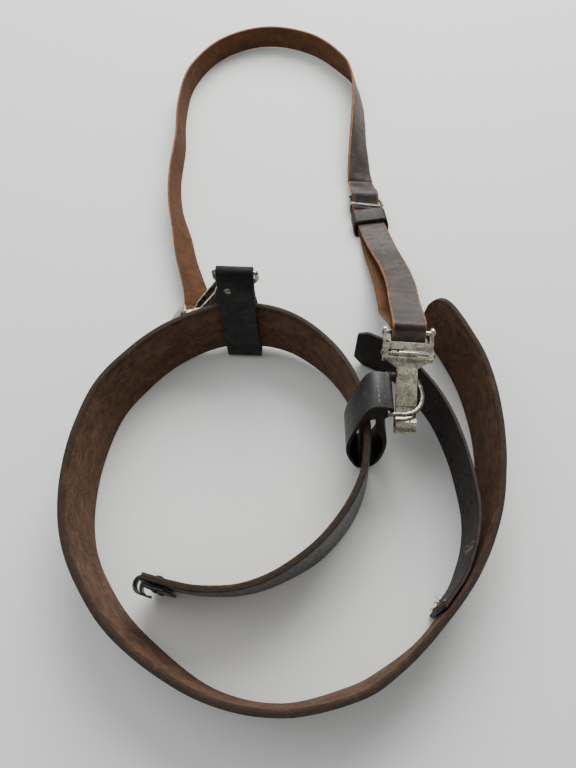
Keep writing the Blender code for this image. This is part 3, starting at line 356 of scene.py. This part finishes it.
TONGUE_LOOK = {
    "grain": ((0.010, 0.008, 0.009), (0.030, 0.025, 0.024)),
    "worn": (0.09, 0.070, 0.06),
    "scuff": 0.4,
    "flesh": ((0.012, 0.009, 0.009), (0.024, 0.019, 0.018), (0.044, 0.035, 0.032)),
    "flesh_from": (-0.3, -0.8),
    "stain_and_shade": (0.012, 0.009, 0.008),
    "bleed": 0.002,
    "edge": ((0.010, 0.008, 0.007), (0.045, 0.026, 0.018)),
    "fray": -0.002,
    "gloss": 0.34,
    "specular": 0.4,
    "depth": 0.00030,
}
LOOP_LOOK = {
    "grain": ((0.006, 0.006, 0.006), (0.026, 0.026, 0.026)),
    "worn": (0.13, 0.13, 0.12),
    "scuff": 0.5,
    "edge": ((0.006, 0.005, 0.004), (0.030, 0.018, 0.011)),
    "gloss": 0.26,
    "specular": 0.38,
    "depth": 0.00040,
}
DULL_LOOP_LOOK = dict(LOOP_LOOK, gloss=0.42, specular=0.20, scuff=0.2)
KEEPER_LOOK = dict(
    LOOP_LOOK, grain=((0.010, 0.007, 0.006), (0.034, 0.025, 0.020)), gloss=0.40, worn=(0.09, 0.07, 0.05)
)
TAB_LOOK = dict(LOOP_LOOK, edge=((0.02, 0.012, 0.008), (0.06, 0.03, 0.018)))


def thread_shader(name, dark, light):
    """Twisted thread between two colours."""
    s = Shade(name)
    place = s.add("TexCoord").outputs["Object"]
    fibres = s.noise(s.stretched(place, (1.0, 1.0, 0.35)), 2600.0, 4.0, 0.7)
    colour = s.ramp(fibres, ((0.35, dark), (0.68, light)))
    return s.finish(colour, 0.85, fibres, 0.0002)


# ---------------------------------------------------------------- metal


def nickel_shader(name, speckle, tint=(0.55, 0.51, 0.40)):
    """Worn nickel plate: yellowish grey, clouded, with dark pits where the plate has gone."""
    s = Shade(name)
    place = s.add("TexCoord").outputs["Object"]
    cloud = s.noise(place, 170.0, 5.0, 0.65, 0.5)
    grit = s.noise(place, 900.0, 6.0, 0.75, 0.4)
    pits = s.spread(s.maths("ADD", grit, s.maths("MULTIPLY", cloud, 0.35)), 0.68, 0.78)
    scratch = s.noise(s.stretched(place, (1.0, 0.12, 1.0)), 1600.0, 3.0, 0.6)
    dull = tuple(value * 0.42 for value in tint)
    plate = s.ramp(cloud, ((0.40, dull), (0.58, tint)))
    colour = s.mix(s.maths("MULTIPLY", pits, speckle), plate, (0.06, 0.045, 0.03, 1.0))
    roughness = s.maths("ADD", s.maths("MULTIPLY", cloud, 0.22), 0.16)
    roughness = s.maths("ADD", roughness, s.maths("MULTIPLY", pits, 0.35))
    height = s.maths("SUBTRACT", s.maths("MULTIPLY", scratch, 0.15), pits)
    s.shader.inputs["Metallic"].default_value = 1.0
    return s.finish(colour, roughness, height, 0.00003, 0.4)


def dark_steel_shader(name):
    """Blackened steel, rubbed bright in places."""
    s = Shade(name)
    place = s.add("TexCoord").outputs["Object"]
    cloud = s.noise(place, 220.0, 5.0, 0.65, 0.4)
    grit = s.noise(place, 1100.0, 5.0, 0.7)
    rubbed = s.spread(s.maths("ADD", cloud, s.maths("MULTIPLY", grit, 0.3)), 0.70, 0.84)
    base = s.ramp(cloud, ((0.36, (0.020, 0.020, 0.021)), (0.64, (0.062, 0.058, 0.055))))
    colour = s.mix(s.maths("MULTIPLY", rubbed, 0.5), base, (0.30, 0.28, 0.26, 1.0))
    roughness = s.maths("ADD", s.maths("MULTIPLY", grit, 0.25), 0.26)
    s.shader.inputs["Metallic"].default_value = 0.85
    return s.finish(colour, roughness, grit, 0.0001, 0.5)


# ---------------------------------------------------------------- curves and frames


def between(p0, p1, p2, p3, t):
    """The Catmull-Rom point between p1 and p2, of any number of values."""
    sample = []
    for a, b, c, d in zip(p0, p1, p2, p3):
        bend = (2 * a - 5 * b + 4 * c - d) * t * t + (3 * b - a - 3 * c + d) * t * t * t
        sample.append(b + 0.5 * ((c - a) * t + bend))
    return sample


def smooth(points, steps):
    """A Catmull-Rom curve through the points."""
    ends = [[2 * a - b for a, b in zip(points[0], points[1])]]
    ends += [list(point) for point in points]
    ends += [[2 * a - b for a, b in zip(points[-1], points[-2])]]
    samples = []
    for i in range(1, len(ends) - 2):
        samples += [between(*ends[i - 1 : i + 3], step / steps) for step in range(steps)]
    return samples + [list(points[-1])]


def closed_smooth(points, steps):
    """The same curve closed on itself."""
    count = len(points)
    samples = []
    for i in range(count):
        around = [points[(i + k) % count] for k in (-1, 0, 1, 2)]
        samples += [tuple(between(*around, step / steps)) for step in range(steps)]
    return samples


def heading(samples, i):
    """The level direction of a route at its sample i."""
    before = Vector(samples[max(i - 1, 0)][:2])
    after = Vector(samples[min(i + 1, len(samples) - 1)][:2])
    return (after - before).normalized()


def nearest(samples, place):
    """The number of the sample that is nearest to a place, seen from above."""
    return min(range(len(samples)), key=lambda i: (Vector(samples[i][:2]) - place.xy).length)


def ease(t):
    """From 0 to 1 with level ends."""
    t = min(max(t, 0.0), 1.0)
    return t * t * (3.0 - 2.0 * t)


# ---------------------------------------------------------------- meshes


def add_object(name, data, body, slot, material, *nodes):
    """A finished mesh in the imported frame, riding on its body."""
    data.materials.clear()
    data.materials.append(material)
    data.shade_smooth()
    piece = bpy.data.objects.new(name, data)
    bpy.context.scene.collection.objects.link(piece)
    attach(piece, body)
    if nodes:
        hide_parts(*nodes)
    return piece


def section_profile(low, high, thickness, corner, across_steps):
    """Points (across, through) round a strap's section, from its flesh side, with soft corners."""
    half = thickness / 2
    corner = min(corner, half * 0.95, (high - low) / 2 * 0.9)
    points = []

    def bend(a, b, start):
        for step in range(5):
            angle = math.radians(start + 90 * step / 4)
            points.append((a + corner * math.cos(angle), b + corner * math.sin(angle)))

    bend(high - corner, -half + corner, -90)
    bend(high - corner, half - corner, 0)
    for step in range(1, across_steps):
        points.append((high - corner + (low - high + 2 * corner) * step / across_steps, half))
    bend(low + corner, half - corner, 90)
    bend(low + corner, -half + corner, 180)
    for step in range(1, across_steps):
        points.append((low + corner + (high - low - 2 * corner) * step / across_steps, -half))
    return points


def strap_mesh(name, sections, width, thickness, corner, wobble, across_steps=12):
    """A strap through sections (centre, across, face, low, high). The centre is at across 0, and
    low and high are where its edges lie. wobble is how unevenly it is cut and worn."""
    bm = bmesh.new()
    layers = {key: bm.verts.layers.float.new(key) for key in ("along", "across", "side", "rim")}
    run = 0.0
    rows = []
    for i, (centre, across, face, low, high) in enumerate(sections):
        if i:
            run += (centre - sections[i - 1][0]).length
        row = []
        for a, b in section_profile(low, high, thickness, corner, across_steps):
            rim = min(a - low, high - a)
            spot = Vector((run * WEAR_SCALE[0], a * WEAR_SCALE[1], b * WEAR_SCALE[2]))
            uneven = noise.noise(spot) * wobble
            nick = noise.noise(spot * 4.0) * wobble * 0.35
            worn = 0.06 * thickness * max(0.0, 1.0 - rim / (3.0 * corner)) ** 2
            through = b - math.copysign(worn, b) + uneven * (1.0 if b > 0 else 0.6) - abs(nick) * 0.4
            pull = (nick + uneven) * (1.0 if rim < corner else 0.0)
            vert = bm.verts.new(centre + across * (a - math.copysign(abs(pull), a)) + face * through)
            vert[layers["along"]] = run
            vert[layers["across"]] = a + width / 2
            vert[layers["side"]] = 2 * b / thickness
            vert[layers["rim"]] = rim
            row.append(vert)
        rows.append(row)
    for near, far in zip(rows, rows[1:]):
        for i in range(len(near)):
            j = (i + 1) % len(near)
            bm.faces.new((near[i], near[j], far[j], far[i]))
    bm.faces.new(rows[0][::-1])
    bm.faces.new(rows[-1])
    bmesh.ops.recalc_face_normals(bm, faces=bm.faces)
    data = bpy.data.meshes.new(name)
    bm.to_mesh(data)
    bm.free()
    return data


def standing_sections(samples, width, tip_length=0.0):
    """Sections of a strap on edge from (x, y, lean, lift) in metres, sheared so that its lower
    edge stays level. The last tip_length ends in an arch."""
    runs = [0.0]
    for a, b in zip(samples, samples[1:]):
        runs.append(runs[-1] + (Vector(b[:2]) - Vector(a[:2])).length)
    sections = []
    for i, (x, y, lean, lift) in enumerate(samples):
        direction = heading(samples, i)
        outward = Vector((direction.y, -direction.x, 0.0))
        past = max(0.0, runs[i] - (runs[-1] - tip_length)) / tip_length if tip_length else 0.0
        cut = 0.5 * width * (1.0 - math.sqrt(max(0.0, 1.0 - 0.94 * past**2.6)))
        centre = Vector((x, y, max(lift, 0.0) + width / 2)) + SHIFT
        across = (outward * lean + UP * width) / width
        sections.append((centre, across, outward, -width / 2 + cut, width / 2 - cut))
    return sections


def belt_samples(steps):
    return [[value * MM for value in sample] for sample in smooth(BELT_ROUTE, steps)]


def make_belt():
    samples = belt_samples(12)
    x, y, lean, lift = samples[-1]
    direction = heading(samples, len(samples) - 1)
    for step in range(1, 15):
        reach = direction * BELT_TIP_LENGTH * 0.5 * math.sin(math.pi / 2 * step / 14)
        samples.append([x + reach.x, y + reach.y, lean, lift])
    sections = standing_sections(samples, BELT_WIDTH, BELT_TIP_LENGTH)
    data = strap_mesh("belt", sections, BELT_WIDTH, BELT_THICKNESS, 1.1 * MM, 0.12 * MM, 22)
    return add_object("belt", data, "belt", "belt_leather", strap_shader("belt", BELT_LOOK), "belt_strap")


def tongue_samples():
    belt = belt_samples(3)
    reach = BELT_THICKNESS / 2 + TONGUE_THICKNESS / 2 + TONGUE_GAP
    points = []
    for place in TONGUE_SEWN:
        i = nearest(belt, Vector((*place, 0.0)) * MM)
        direction = heading(belt, i)
        points.append((belt[i][0] - direction.y * reach, belt[i][1] + direction.x * reach, 0.0, 0.0))
    points += [(x * MM, y * MM, 0.0, 0.0) for x, y in TONGUE_ROUTE]
    return smooth(points, 14)


def cut_holes(piece, places, radius, depth):
    """Round holes through a piece; places are (centre, axis)."""
    bm = bmesh.new()
    for centre, axis in places:
        turn = axis.to_track_quat("Z", "Y").to_matrix().to_4x4()
        bmesh.ops.create_cone(
            bm,
            cap_ends=True,
            segments=20,
            radius1=radius,
            radius2=radius,
            depth=depth,
            matrix=Matrix.Translation(centre) @ turn,
        )
    data = bpy.data.meshes.new("hole_cutter")
    bm.to_mesh(data)
    bm.free()
    apply_cut(piece, data)


def apply_cut(piece, cutter_data):
    """Take a closed mesh away from a piece."""
    cutter = bpy.data.objects.new("cutter", cutter_data)
    bpy.context.scene.collection.objects.link(cutter)
    step = piece.modifiers.new("cut", "BOOLEAN")
    step.operation = "DIFFERENCE"
    step.object = cutter
    bpy.context.view_layer.update()
    graph = bpy.context.evaluated_depsgraph_get()
    cut = bpy.data.meshes.new_from_object(piece.evaluated_get(graph))
    piece.modifiers.remove(step)
    piece.data = cut
    bpy.data.objects.remove(cutter, do_unlink=True)


def make_tongue():
    """The inner tongue with its pairs of holes and clipped corners, and its sections."""
    samples = tongue_samples()
    sections = standing_sections(samples, TONGUE_WIDTH)
    clipped = []
    end_run = 0.0
    for i in range(len(sections) - 1, -1, -1):
        if i < len(sections) - 1:
            end_run += (sections[i][0] - sections[i + 1][0]).length
        cut = max(0.0, TONGUE_CLIPPED_CORNER - end_run)
        centre, across, face, low, high = sections[i]
        clipped.append((centre, across, face, low + cut, high - cut))
    sections = clipped[::-1]
    data = strap_mesh("tongue", sections, TONGUE_WIDTH, TONGUE_THICKNESS, 0.6 * MM, 0.08 * MM, 20)
    shader = strap_shader("tongue", TONGUE_LOOK)
    piece = add_object("tongue", data, "belt", "black_leather", shader, "sizing_tongue")
    places = []
    run, wanted = 0.0, 0
    for i in range(len(sections) - 1, 0, -1):
        here, there = sections[i][0], sections[i - 1][0]
        step = (there - here).length
        while wanted < TONGUE_HOLE_PAIRS:
            reach = TONGUE_FIRST_HOLE + wanted * TONGUE_HOLE_PITCH - run
            if reach >= step:
                break
            spot = here.lerp(there, reach / step)
            for height in TONGUE_HOLE_ROWS:
                places.append((Vector((spot.x, spot.y, height)), sections[i][2]))
            wanted += 1
        run += step
    cut_holes(piece, places, TONGUE_HOLE_RADIUS, HOLE_CUTTER_DEPTH)
    return sections


def hook_axes(to_nose, face):
    """A hook's directions: along to its nose, out of its face, and along its bar."""
    u_axis = to_nose.normalized()
    w_axis = u_axis.cross(face).normalized()
    n_axis = w_axis.cross(u_axis)
    return u_axis, n_axis, u_axis.cross(n_axis)


def bar_turn(bar, across, outward, away, start, stop, reach_away=1.0, steps=8):
    """The strap's turn round a bar, from the angle start to stop in degrees."""
    points = []
    for step in range(steps + 1):
        angle = math.radians(start + (stop - start) * step / steps)
        reach = outward * math.cos(angle) + away * math.sin(angle) * reach_away
        points.append((bar + reach * STRAP_TURN_RADIUS, across))
    return points


def blended(first, second, count):
    """Directions that turn evenly from first to second."""
    return [first.lerp(second, step / max(count - 1, 1)).normalized() for step in range(count)]


def shoulder_samples():
    """(centre, across) along the whole strap in the table's frame, as in the design."""
    u_axis, n_axis, w_axis = hook_axes(BACK_HOOK_TO_NOSE, BACK_HOOK_FACE)
    if w_axis.x > 0:
        w_axis = -w_axis
    samples = [
        (BACK_BAR - u_axis * 4.6 * MM - n_axis * 10.0 * MM, w_axis),
        (BACK_BAR - u_axis * 3.2 * MM - n_axis * 4.0 * MM, w_axis),
    ]
    samples += bar_turn(BACK_BAR, w_axis, n_axis, u_axis, -90, 105)
    samples.append((BACK_BAR + u_axis * 1.2 * MM - n_axis * 5.0 * MM, w_axis))
    route = smooth([(x, y, 0.0, angle) for x, y, angle in STRAP_ROUTE], 3)
    for i, (x, y, _, angle) in enumerate(route):
        direction = heading(route, i)
        outward = Vector((-direction.y, direction.x, 0.0))
        turn = math.radians(angle)
        across = outward * math.cos(turn) + UP * math.sin(turn)
        height = STRAP_WIDTH / 2 * abs(math.sin(turn)) + STRAP_THICKNESS / 2 * abs(math.cos(turn))
        samples.append((Vector((x * MM, y * MM, height + 0.2 * MM)), across))
    nose, face, bar_axis = hook_axes(FRONT_HOOK_TO_NOSE, FRONT_HOOK_FACE)
    if bar_axis.x > 0:
        bar_axis = -bar_axis
    out = smooth(STRAP_OUT, 3)
    flat = blended(samples[-1][1], bar_axis, 3) + [bar_axis] * (len(out) - 3)
    for place, across in zip(out, flat):
        samples.append((Vector(place) * MM, across))
    samples.append((FRONT_BAR - nose * 6.0 * MM + face * 2.9 * MM, bar_axis))
    samples += bar_turn(FRONT_BAR, bar_axis, face, nose, 0, 180, FRONT_WRAP_REACH)
    samples.append((FRONT_BAR - nose * 6.0 * MM - face * 3.4 * MM + bar_axis * STRAP_ASKEW, bar_axis))
    rear_axis = -BUCKLE_BAR_AXIS.normalized()
    back = smooth(STRAP_BACK, 3)
    for place, across in zip(back, blended(bar_axis, rear_axis, len(back))):
        samples.append((Vector(place) * MM, across))
    forward = Vector((-rear_axis.y, rear_axis.x, 0.0))
    if forward.y < 0:
        forward = -forward
    for step in range(10):
        angle = math.radians(-90 + 205 * step / 9)
        reach = (forward * math.cos(angle) + UP * math.sin(angle)) * BUCKLE_WRAP_RADIUS
        samples.append((BUCKLE_REAR + reach, rear_axis))
    return samples


def make_shoulder_strap():
    coarse = [(*centre, *across) for centre, across in shoulder_samples()]
    fine = smooth(coarse, 4)
    sections = []
    half = STRAP_WIDTH / 2
    for i, values in enumerate(fine):
        before = Vector(fine[max(i - 1, 0)][:3])
        after = Vector(fine[min(i + 1, len(fine) - 1)][:3])
        direction = (after - before).normalized()
        across = Vector(values[3:])
        across = (across - direction * across.dot(direction)).normalized()
        centre = Vector(values[:3]) + SHIFT
        sections.append((centre, across, across.cross(direction), -half, half))
    data = strap_mesh("shoulder_strap", sections, STRAP_WIDTH, STRAP_THICKNESS, 0.45 * MM, 0.06 * MM)
    shader = strap_shader("strap", STRAP_LOOK)
    add_object("long_strap", data, "strap", "strap_leather", shader, "shoulder_strap")


def curve_to_mesh(name, curve):
    obj = bpy.data.objects.new(name, curve)
    bpy.context.scene.collection.objects.link(obj)
    bpy.context.view_layer.update()
    graph = bpy.context.evaluated_depsgraph_get()
    data = bpy.data.meshes.new_from_object(obj.evaluated_get(graph))
    bpy.data.objects.remove(obj, do_unlink=True)
    return data


def outline_mesh(name, outlines, half_thickness):
    """An extruded flat shape with holes from closed outlines of points in metres."""
    curve = bpy.data.curves.new(name, "CURVE")
    curve.dimensions = "2D"
    curve.fill_mode = "BOTH"
    curve.extrude = half_thickness
    for outline in outlines:
        spline = curve.splines.new("POLY")
        spline.points.add(len(outline) - 1)
        for knot, (x, y) in zip(spline.points, outline):
            knot.co = (x, y, 0.0, 1.0)
        spline.use_cyclic_u = True
    data = curve_to_mesh(name, curve)
    bm = bmesh.new()
    bm.from_mesh(data)
    bmesh.ops.remove_doubles(bm, verts=bm.verts, dist=0.00002)
    bmesh.ops.recalc_face_normals(bm, faces=bm.faces)
    bmesh.ops.dissolve_limit(
        bm, angle_limit=0.01, verts=bm.verts, edges=[e for e in bm.edges if flat_cap_edge(e)]
    )
    raw = bm.faces.layers.float.new("raw")
    for face in bm.faces:
        face[raw] = 1.0 if abs(face.normal.z) > 0.9 else 0.0
    bm.to_mesh(data)
    bm.free()
    return data


def flat_cap_edge(edge):
    """Whether an edge lies between two faces of an extrusion's flat end."""
    return len(edge.link_faces) == 2 and all(abs(f.normal.z) > 0.99 for f in edge.link_faces)


def soften(piece, width, segments=3, angle=40):
    bevel = piece.modifiers.new("soft_edges", "BEVEL")
    bevel.width = width
    bevel.segments = segments
    bevel.limit_method = "ANGLE"
    bevel.angle_limit = math.radians(angle)


def scaled(points):
    return [(x * MM, y * MM) for x, y in points]


def circle(centre, radius, steps=24):
    turns = [2 * math.pi * step / steps for step in range(steps)]
    return scaled([(centre[0] + radius * math.cos(a), centre[1] + radius * math.sin(a)) for a in turns])


def loop_turn(place, slant):
    """From a loop's outline to its place on the belt."""
    samples = belt_samples(3)
    direction = heading(samples, nearest(samples, place))
    outward = Vector((direction.y, -direction.x, 0.0))
    forward = Vector((direction.x, direction.y, 0.0))
    turn = Matrix((outward, UP + forward * slant, -forward)).transposed().to_4x4()
    return Matrix.Translation(place + SHIFT) @ turn


def skewed(point, skew):
    """A loop's inner side slides along the belt towards its top."""
    return skew * ease(-point.x / (10 * MM)) * ease(point.y / (36 * MM))


def make_loop(name, node, place, outside, inside, bar, slant, skew, look):
    """A leather loop round the belt with a hole for a ring's bar, and how it is turned."""
    outlines = [closed_smooth(scaled(outside), 5), closed_smooth(scaled(inside), 5)]
    outlines.append(circle(bar, RING_HOLE_RADIUS))
    data = outline_mesh(name, outlines, LOOP_WIDTH / 2)
    for vertex in data.vertices:
        ripple = noise.noise(Vector((vertex.co.x * 90, vertex.co.y * 90, vertex.co.z * 40)))
        vertex.co.z += skewed(vertex.co, skew) + math.copysign(0.25 * MM * ripple, vertex.co.z)
    turn = loop_turn(place, slant)
    data.transform(turn)
    piece = add_object(name, data, "belt", "black_leather", block_shader(name, look), node)
    soften(piece, 0.45 * MM)
    return turn


def rounded(points, cut, steps=5):
    """A closed outline whose corners are eased over the length cut on either side."""
    made = []
    for i, corner in enumerate(points):
        corner = Vector(corner)
        ends = []
        for other in (points[i - 1], points[(i + 1) % len(points)]):
            reach = Vector(other) - corner
            ends.append(corner + reach.normalized() * min(cut, reach.length * 0.48))
        for step in range(steps + 1):
            t = step / steps
            made.append(tuple(ends[0] * (1 - t) ** 2 + corner * 2 * t * (1 - t) + ends[1] * t * t))
    return made


def make_keeper():
    outlines = [rounded(scaled(KEEPER_OUTSIDE), 2.4 * MM), rounded(scaled(KEEPER_INSIDE), 1.5 * MM)]
    data = outline_mesh("keeper_sleeve", outlines, KEEPER_HALF_LENGTH)
    ahead = KEEPER_AHEAD.normalized()
    side = Vector((-ahead.y, ahead.x, 0.0))
    turn = Matrix((side, UP + KEEPER_LEAN, ahead)).transposed().to_4x4()
    data.transform(Matrix.Translation(KEEPER_AT + SHIFT) @ turn)
    shader = block_shader("keeper", KEEPER_LOOK)
    piece = add_object("keeper_sleeve", data, "keeper", "strap_leather", shader, "strap_keeper")
    soften(piece, 0.4 * MM)


def thread_curve(name, points, radius, body, material, *nodes):
    curve = bpy.data.curves.new(name, "CURVE")
    curve.dimensions = "3D"
    curve.bevel_depth = radius
    curve.bevel_resolution = 2
    curve.use_fill_caps = True
    spline = curve.splines.new("POLY")
    spline.points.add(len(points) - 1)
    for knot, point in zip(spline.points, points):
        knot.co = (*point, 1.0)
    data = curve_to_mesh(name, curve)
    return add_object(name, data, body, "thread", material, *nodes)


def make_threads(sections):
    """Stitches across the tongue's sewn end, and loose ends where the seam has worn."""
    linen = thread_shader("linen_thread", (0.10, 0.072, 0.030), (0.30, 0.22, 0.10))
    dark = thread_shader("dark_thread", (0.022, 0.010, 0.012), (0.075, 0.038, 0.040))
    centre, across, face, low, high = sections[4]
    inner = centre - face * (TONGUE_THICKNESS / 2 + 0.35 * MM)
    forward = UP.cross(face).normalized()
    points = []
    count = 22
    for step in range(count + 1):
        height = low * 0.86 + (high - low) * 0.86 * step / count
        wave = (0.7 if step % 2 else -0.7) * MM
        points.append(inner + across * height + forward * wave - face * 0.12 * MM * (step % 2))
    thread_curve("seam_thread", smooth(points, 3), SEAM_THREAD_RADIUS, "belt", linen, "tongue_thread")
    tufts = (
        (sections[2], 0.46, dark, 5),
        (sections[2], 0.05, dark, 3),
        (sections[38], 0.47, linen, 4),
    )
    for group, (section, at, material, ends) in enumerate(tufts):
        centre, across, face, low, high = section
        root = centre + across * (high - low) * at - face * (TONGUE_THICKNESS / 2 + 0.3 * MM)
        for number in range(ends):
            stray = [root]
            out = Vector((random.uniform(-0.9, 0.9), random.uniform(-0.9, 0.9), random.uniform(-0.2, 0.9)))
            out = (out - face * 0.7).normalized()
            for step in range(5):
                out = (out + Vector([random.uniform(-0.7, 0.7) for _ in range(3)])).normalized()
                stray.append(stray[-1] + out * random.uniform(0.9, 1.7) * MM)
            curl = smooth(stray, 5)
            thread_curve(f"loose_thread_{group}_{number}", curl, LOOSE_THREAD_RADIUS, "belt", material)


def make_loop_stitches(turn):
    """A row of stitches across the top of the front loop, beside the ring's fold."""
    waxed = thread_shader("waxed_thread", (0.10, 0.095, 0.085), (0.36, 0.34, 0.31))
    pitch = (LOOP_WIDTH - 5 * MM) / STITCH_COUNT
    for number in range(STITCH_COUNT):
        middle = -LOOP_WIDTH / 2 + 2.5 * MM + pitch * (number + 0.5)
        points = []
        for step in range(7):
            t = step / 6 - 0.5
            lift = 0.28 * MM * math.cos(math.pi * t)
            spot = Vector((STITCH_AT[0], STITCH_AT[1] + lift, middle + t * pitch * 0.62))
            spot.z += skewed(spot, FRONT_LOOP_SKEW)
            points.append(turn @ spot)
        thread_curve(f"loop_stitch_{number}", points, STITCH_RADIUS, "belt", waxed)


# ---------------------------------------------------------------- carried-over nodes


def dress(node, material, edge=0.0, segments=2):
    """A new material, and softened edges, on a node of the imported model."""
    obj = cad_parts[node]
    obj.data.materials.clear()
    obj.data.materials.append(material)
    if edge:
        weld = obj.modifiers.new("weld", "WELD")
        weld.merge_threshold = 0.000005
        soften(obj, edge, segments, 30)
    obj.data.shade_smooth()
    smooth_by_angle(obj)


def smooth_by_angle(obj):
    obj.data.set_sharp_from_angle(angle=math.radians(32))


def dress_metal():
    blade = nickel_shader("pitted_nickel", 0.85)
    clean = nickel_shader("clean_nickel", 0.35, (0.62, 0.58, 0.50))
    grey = nickel_shader("ring_nickel", 0.55, (0.34, 0.31, 0.27))
    steel = dark_steel_shader("blackened_steel")
    for side in ("front", "back"):
        dress(side + "_hook_body", blade)
        dress(side + "_hook_gate", blade, 0.15 * MM)
        dress(side + "_hook_gate_pin", grey, 0.2 * MM)
        dress(side + "_hook_strap_bar", clean, 0.25 * MM)
        dress(side + "_hook_spring", clean)
        dress(side + "_ring", grey)
    dress("back_loop_rivet", grey, 0.2 * MM)
    dress("front_loop_rivet", steel, 0.2 * MM)
    dress("buckle_frame", clean)
    dress("belt_hook", steel, 0.2 * MM)
    dress("hook_rivet_lower", steel, 0.2 * MM)
    dress("hook_rivet_upper", steel, 0.2 * MM)
    dress("belt_hook_tab", block_shader("hook_tab", TAB_LOOK), 0.15 * MM)


# ---------------------------------------------------------------- studio


def make_studio():
    bpy.ops.mesh.primitive_plane_add(size=6.0, location=(0.0, 0.0, -0.0004))
    floor = bpy.context.object
    floor.name = "studio_floor"
    shade = Shade("studio_floor")
    place = shade.add("TexCoord").outputs["Object"]
    tone = shade.noise(place, 3.0, 3.0, 0.5)
    colour = shade.ramp(tone, ((0.3, (0.775, 0.787, 0.777)), (0.7, (0.805, 0.817, 0.807))))
    shade.finish(colour, 0.7, shade.noise(place, 900.0), 0.00002)
    floor.data.materials.append(shade.material)
    make_world()
    add_light("key_light", (0.26, 1.12, 1.0), 1.1, 38.0, (1.0, 0.99, 0.97))
    add_light("fill_light", (-0.7, 0.3, 1.2), 1.0, 6.0, (0.97, 0.98, 1.0))


def make_world():
    """A white room, brighter above than near the horizon."""
    world = bpy.data.worlds.new("studio_world")
    world.use_nodes = True
    tree = world.node_tree
    place = tree.nodes.new("ShaderNodeTexCoord")
    split = tree.nodes.new("ShaderNodeSeparateXYZ")
    blend = tree.nodes.new("ShaderNodeValToRGB")
    tree.links.new(place.outputs["Generated"], split.inputs[0])
    tree.links.new(split.outputs["Z"], blend.inputs[0])
    low, high = blend.color_ramp.elements
    low.position, low.color = 0.0, (0.50, 0.50, 0.49, 1.0)
    high.position, high.color = 0.85, (1.0, 1.0, 0.985, 1.0)
    background = tree.nodes["Background"]
    tree.links.new(blend.outputs[0], background.inputs["Color"])
    background.inputs["Strength"].default_value = 0.54
    bpy.context.scene.world = world


def add_light(name, place, size, power, colour):
    lamp = bpy.data.lights.new(name, "AREA")
    lamp.size = size
    lamp.energy = power
    lamp.color = colour
    obj = bpy.data.objects.new(name, lamp)
    obj.location = place
    aim = Vector((0.0, -0.05, 0.0)) - Vector(place)
    obj.rotation_euler = aim.to_track_quat("-Z", "Y").to_euler()
    bpy.context.scene.collection.objects.link(obj)


def make_camera():
    data = bpy.data.cameras.new("camera")
    data.lens = CAMERA_LENS
    data.sensor_width = 36.0
    camera = bpy.data.objects.new("camera", data)
    camera.location = CAMERA_PLACE
    camera.rotation_euler = (math.radians(90.0 - CAMERA_DOWN), 0.0, 0.0)
    data.clip_start = 0.01
    bpy.context.scene.collection.objects.link(camera)
    bpy.context.scene.camera = camera


make_camera()
make_belt()
tongue = make_tongue()
make_loop(
    "back_loop_leather",
    "back_loop",
    BACK_LOOP_AT,
    BACK_LOOP_OUTSIDE,
    BACK_LOOP_INSIDE,
    BACK_RING_BAR,
    BACK_LOOP_SLANT,
    0.0,
    DULL_LOOP_LOOK,
)
front_turn = make_loop(
    "front_loop_leather",
    "front_loop",
    FRONT_LOOP_AT,
    FRONT_LOOP_OUTSIDE,
    FRONT_LOOP_INSIDE,
    FRONT_RING_BAR,
    FRONT_LOOP_SLANT,
    FRONT_LOOP_SKEW,
    LOOP_LOOK,
)
make_loop_stitches(front_turn)
make_shoulder_strap()
make_keeper()
make_threads(tongue)
dress_metal()
make_studio()

bpy.context.view_layer.update()
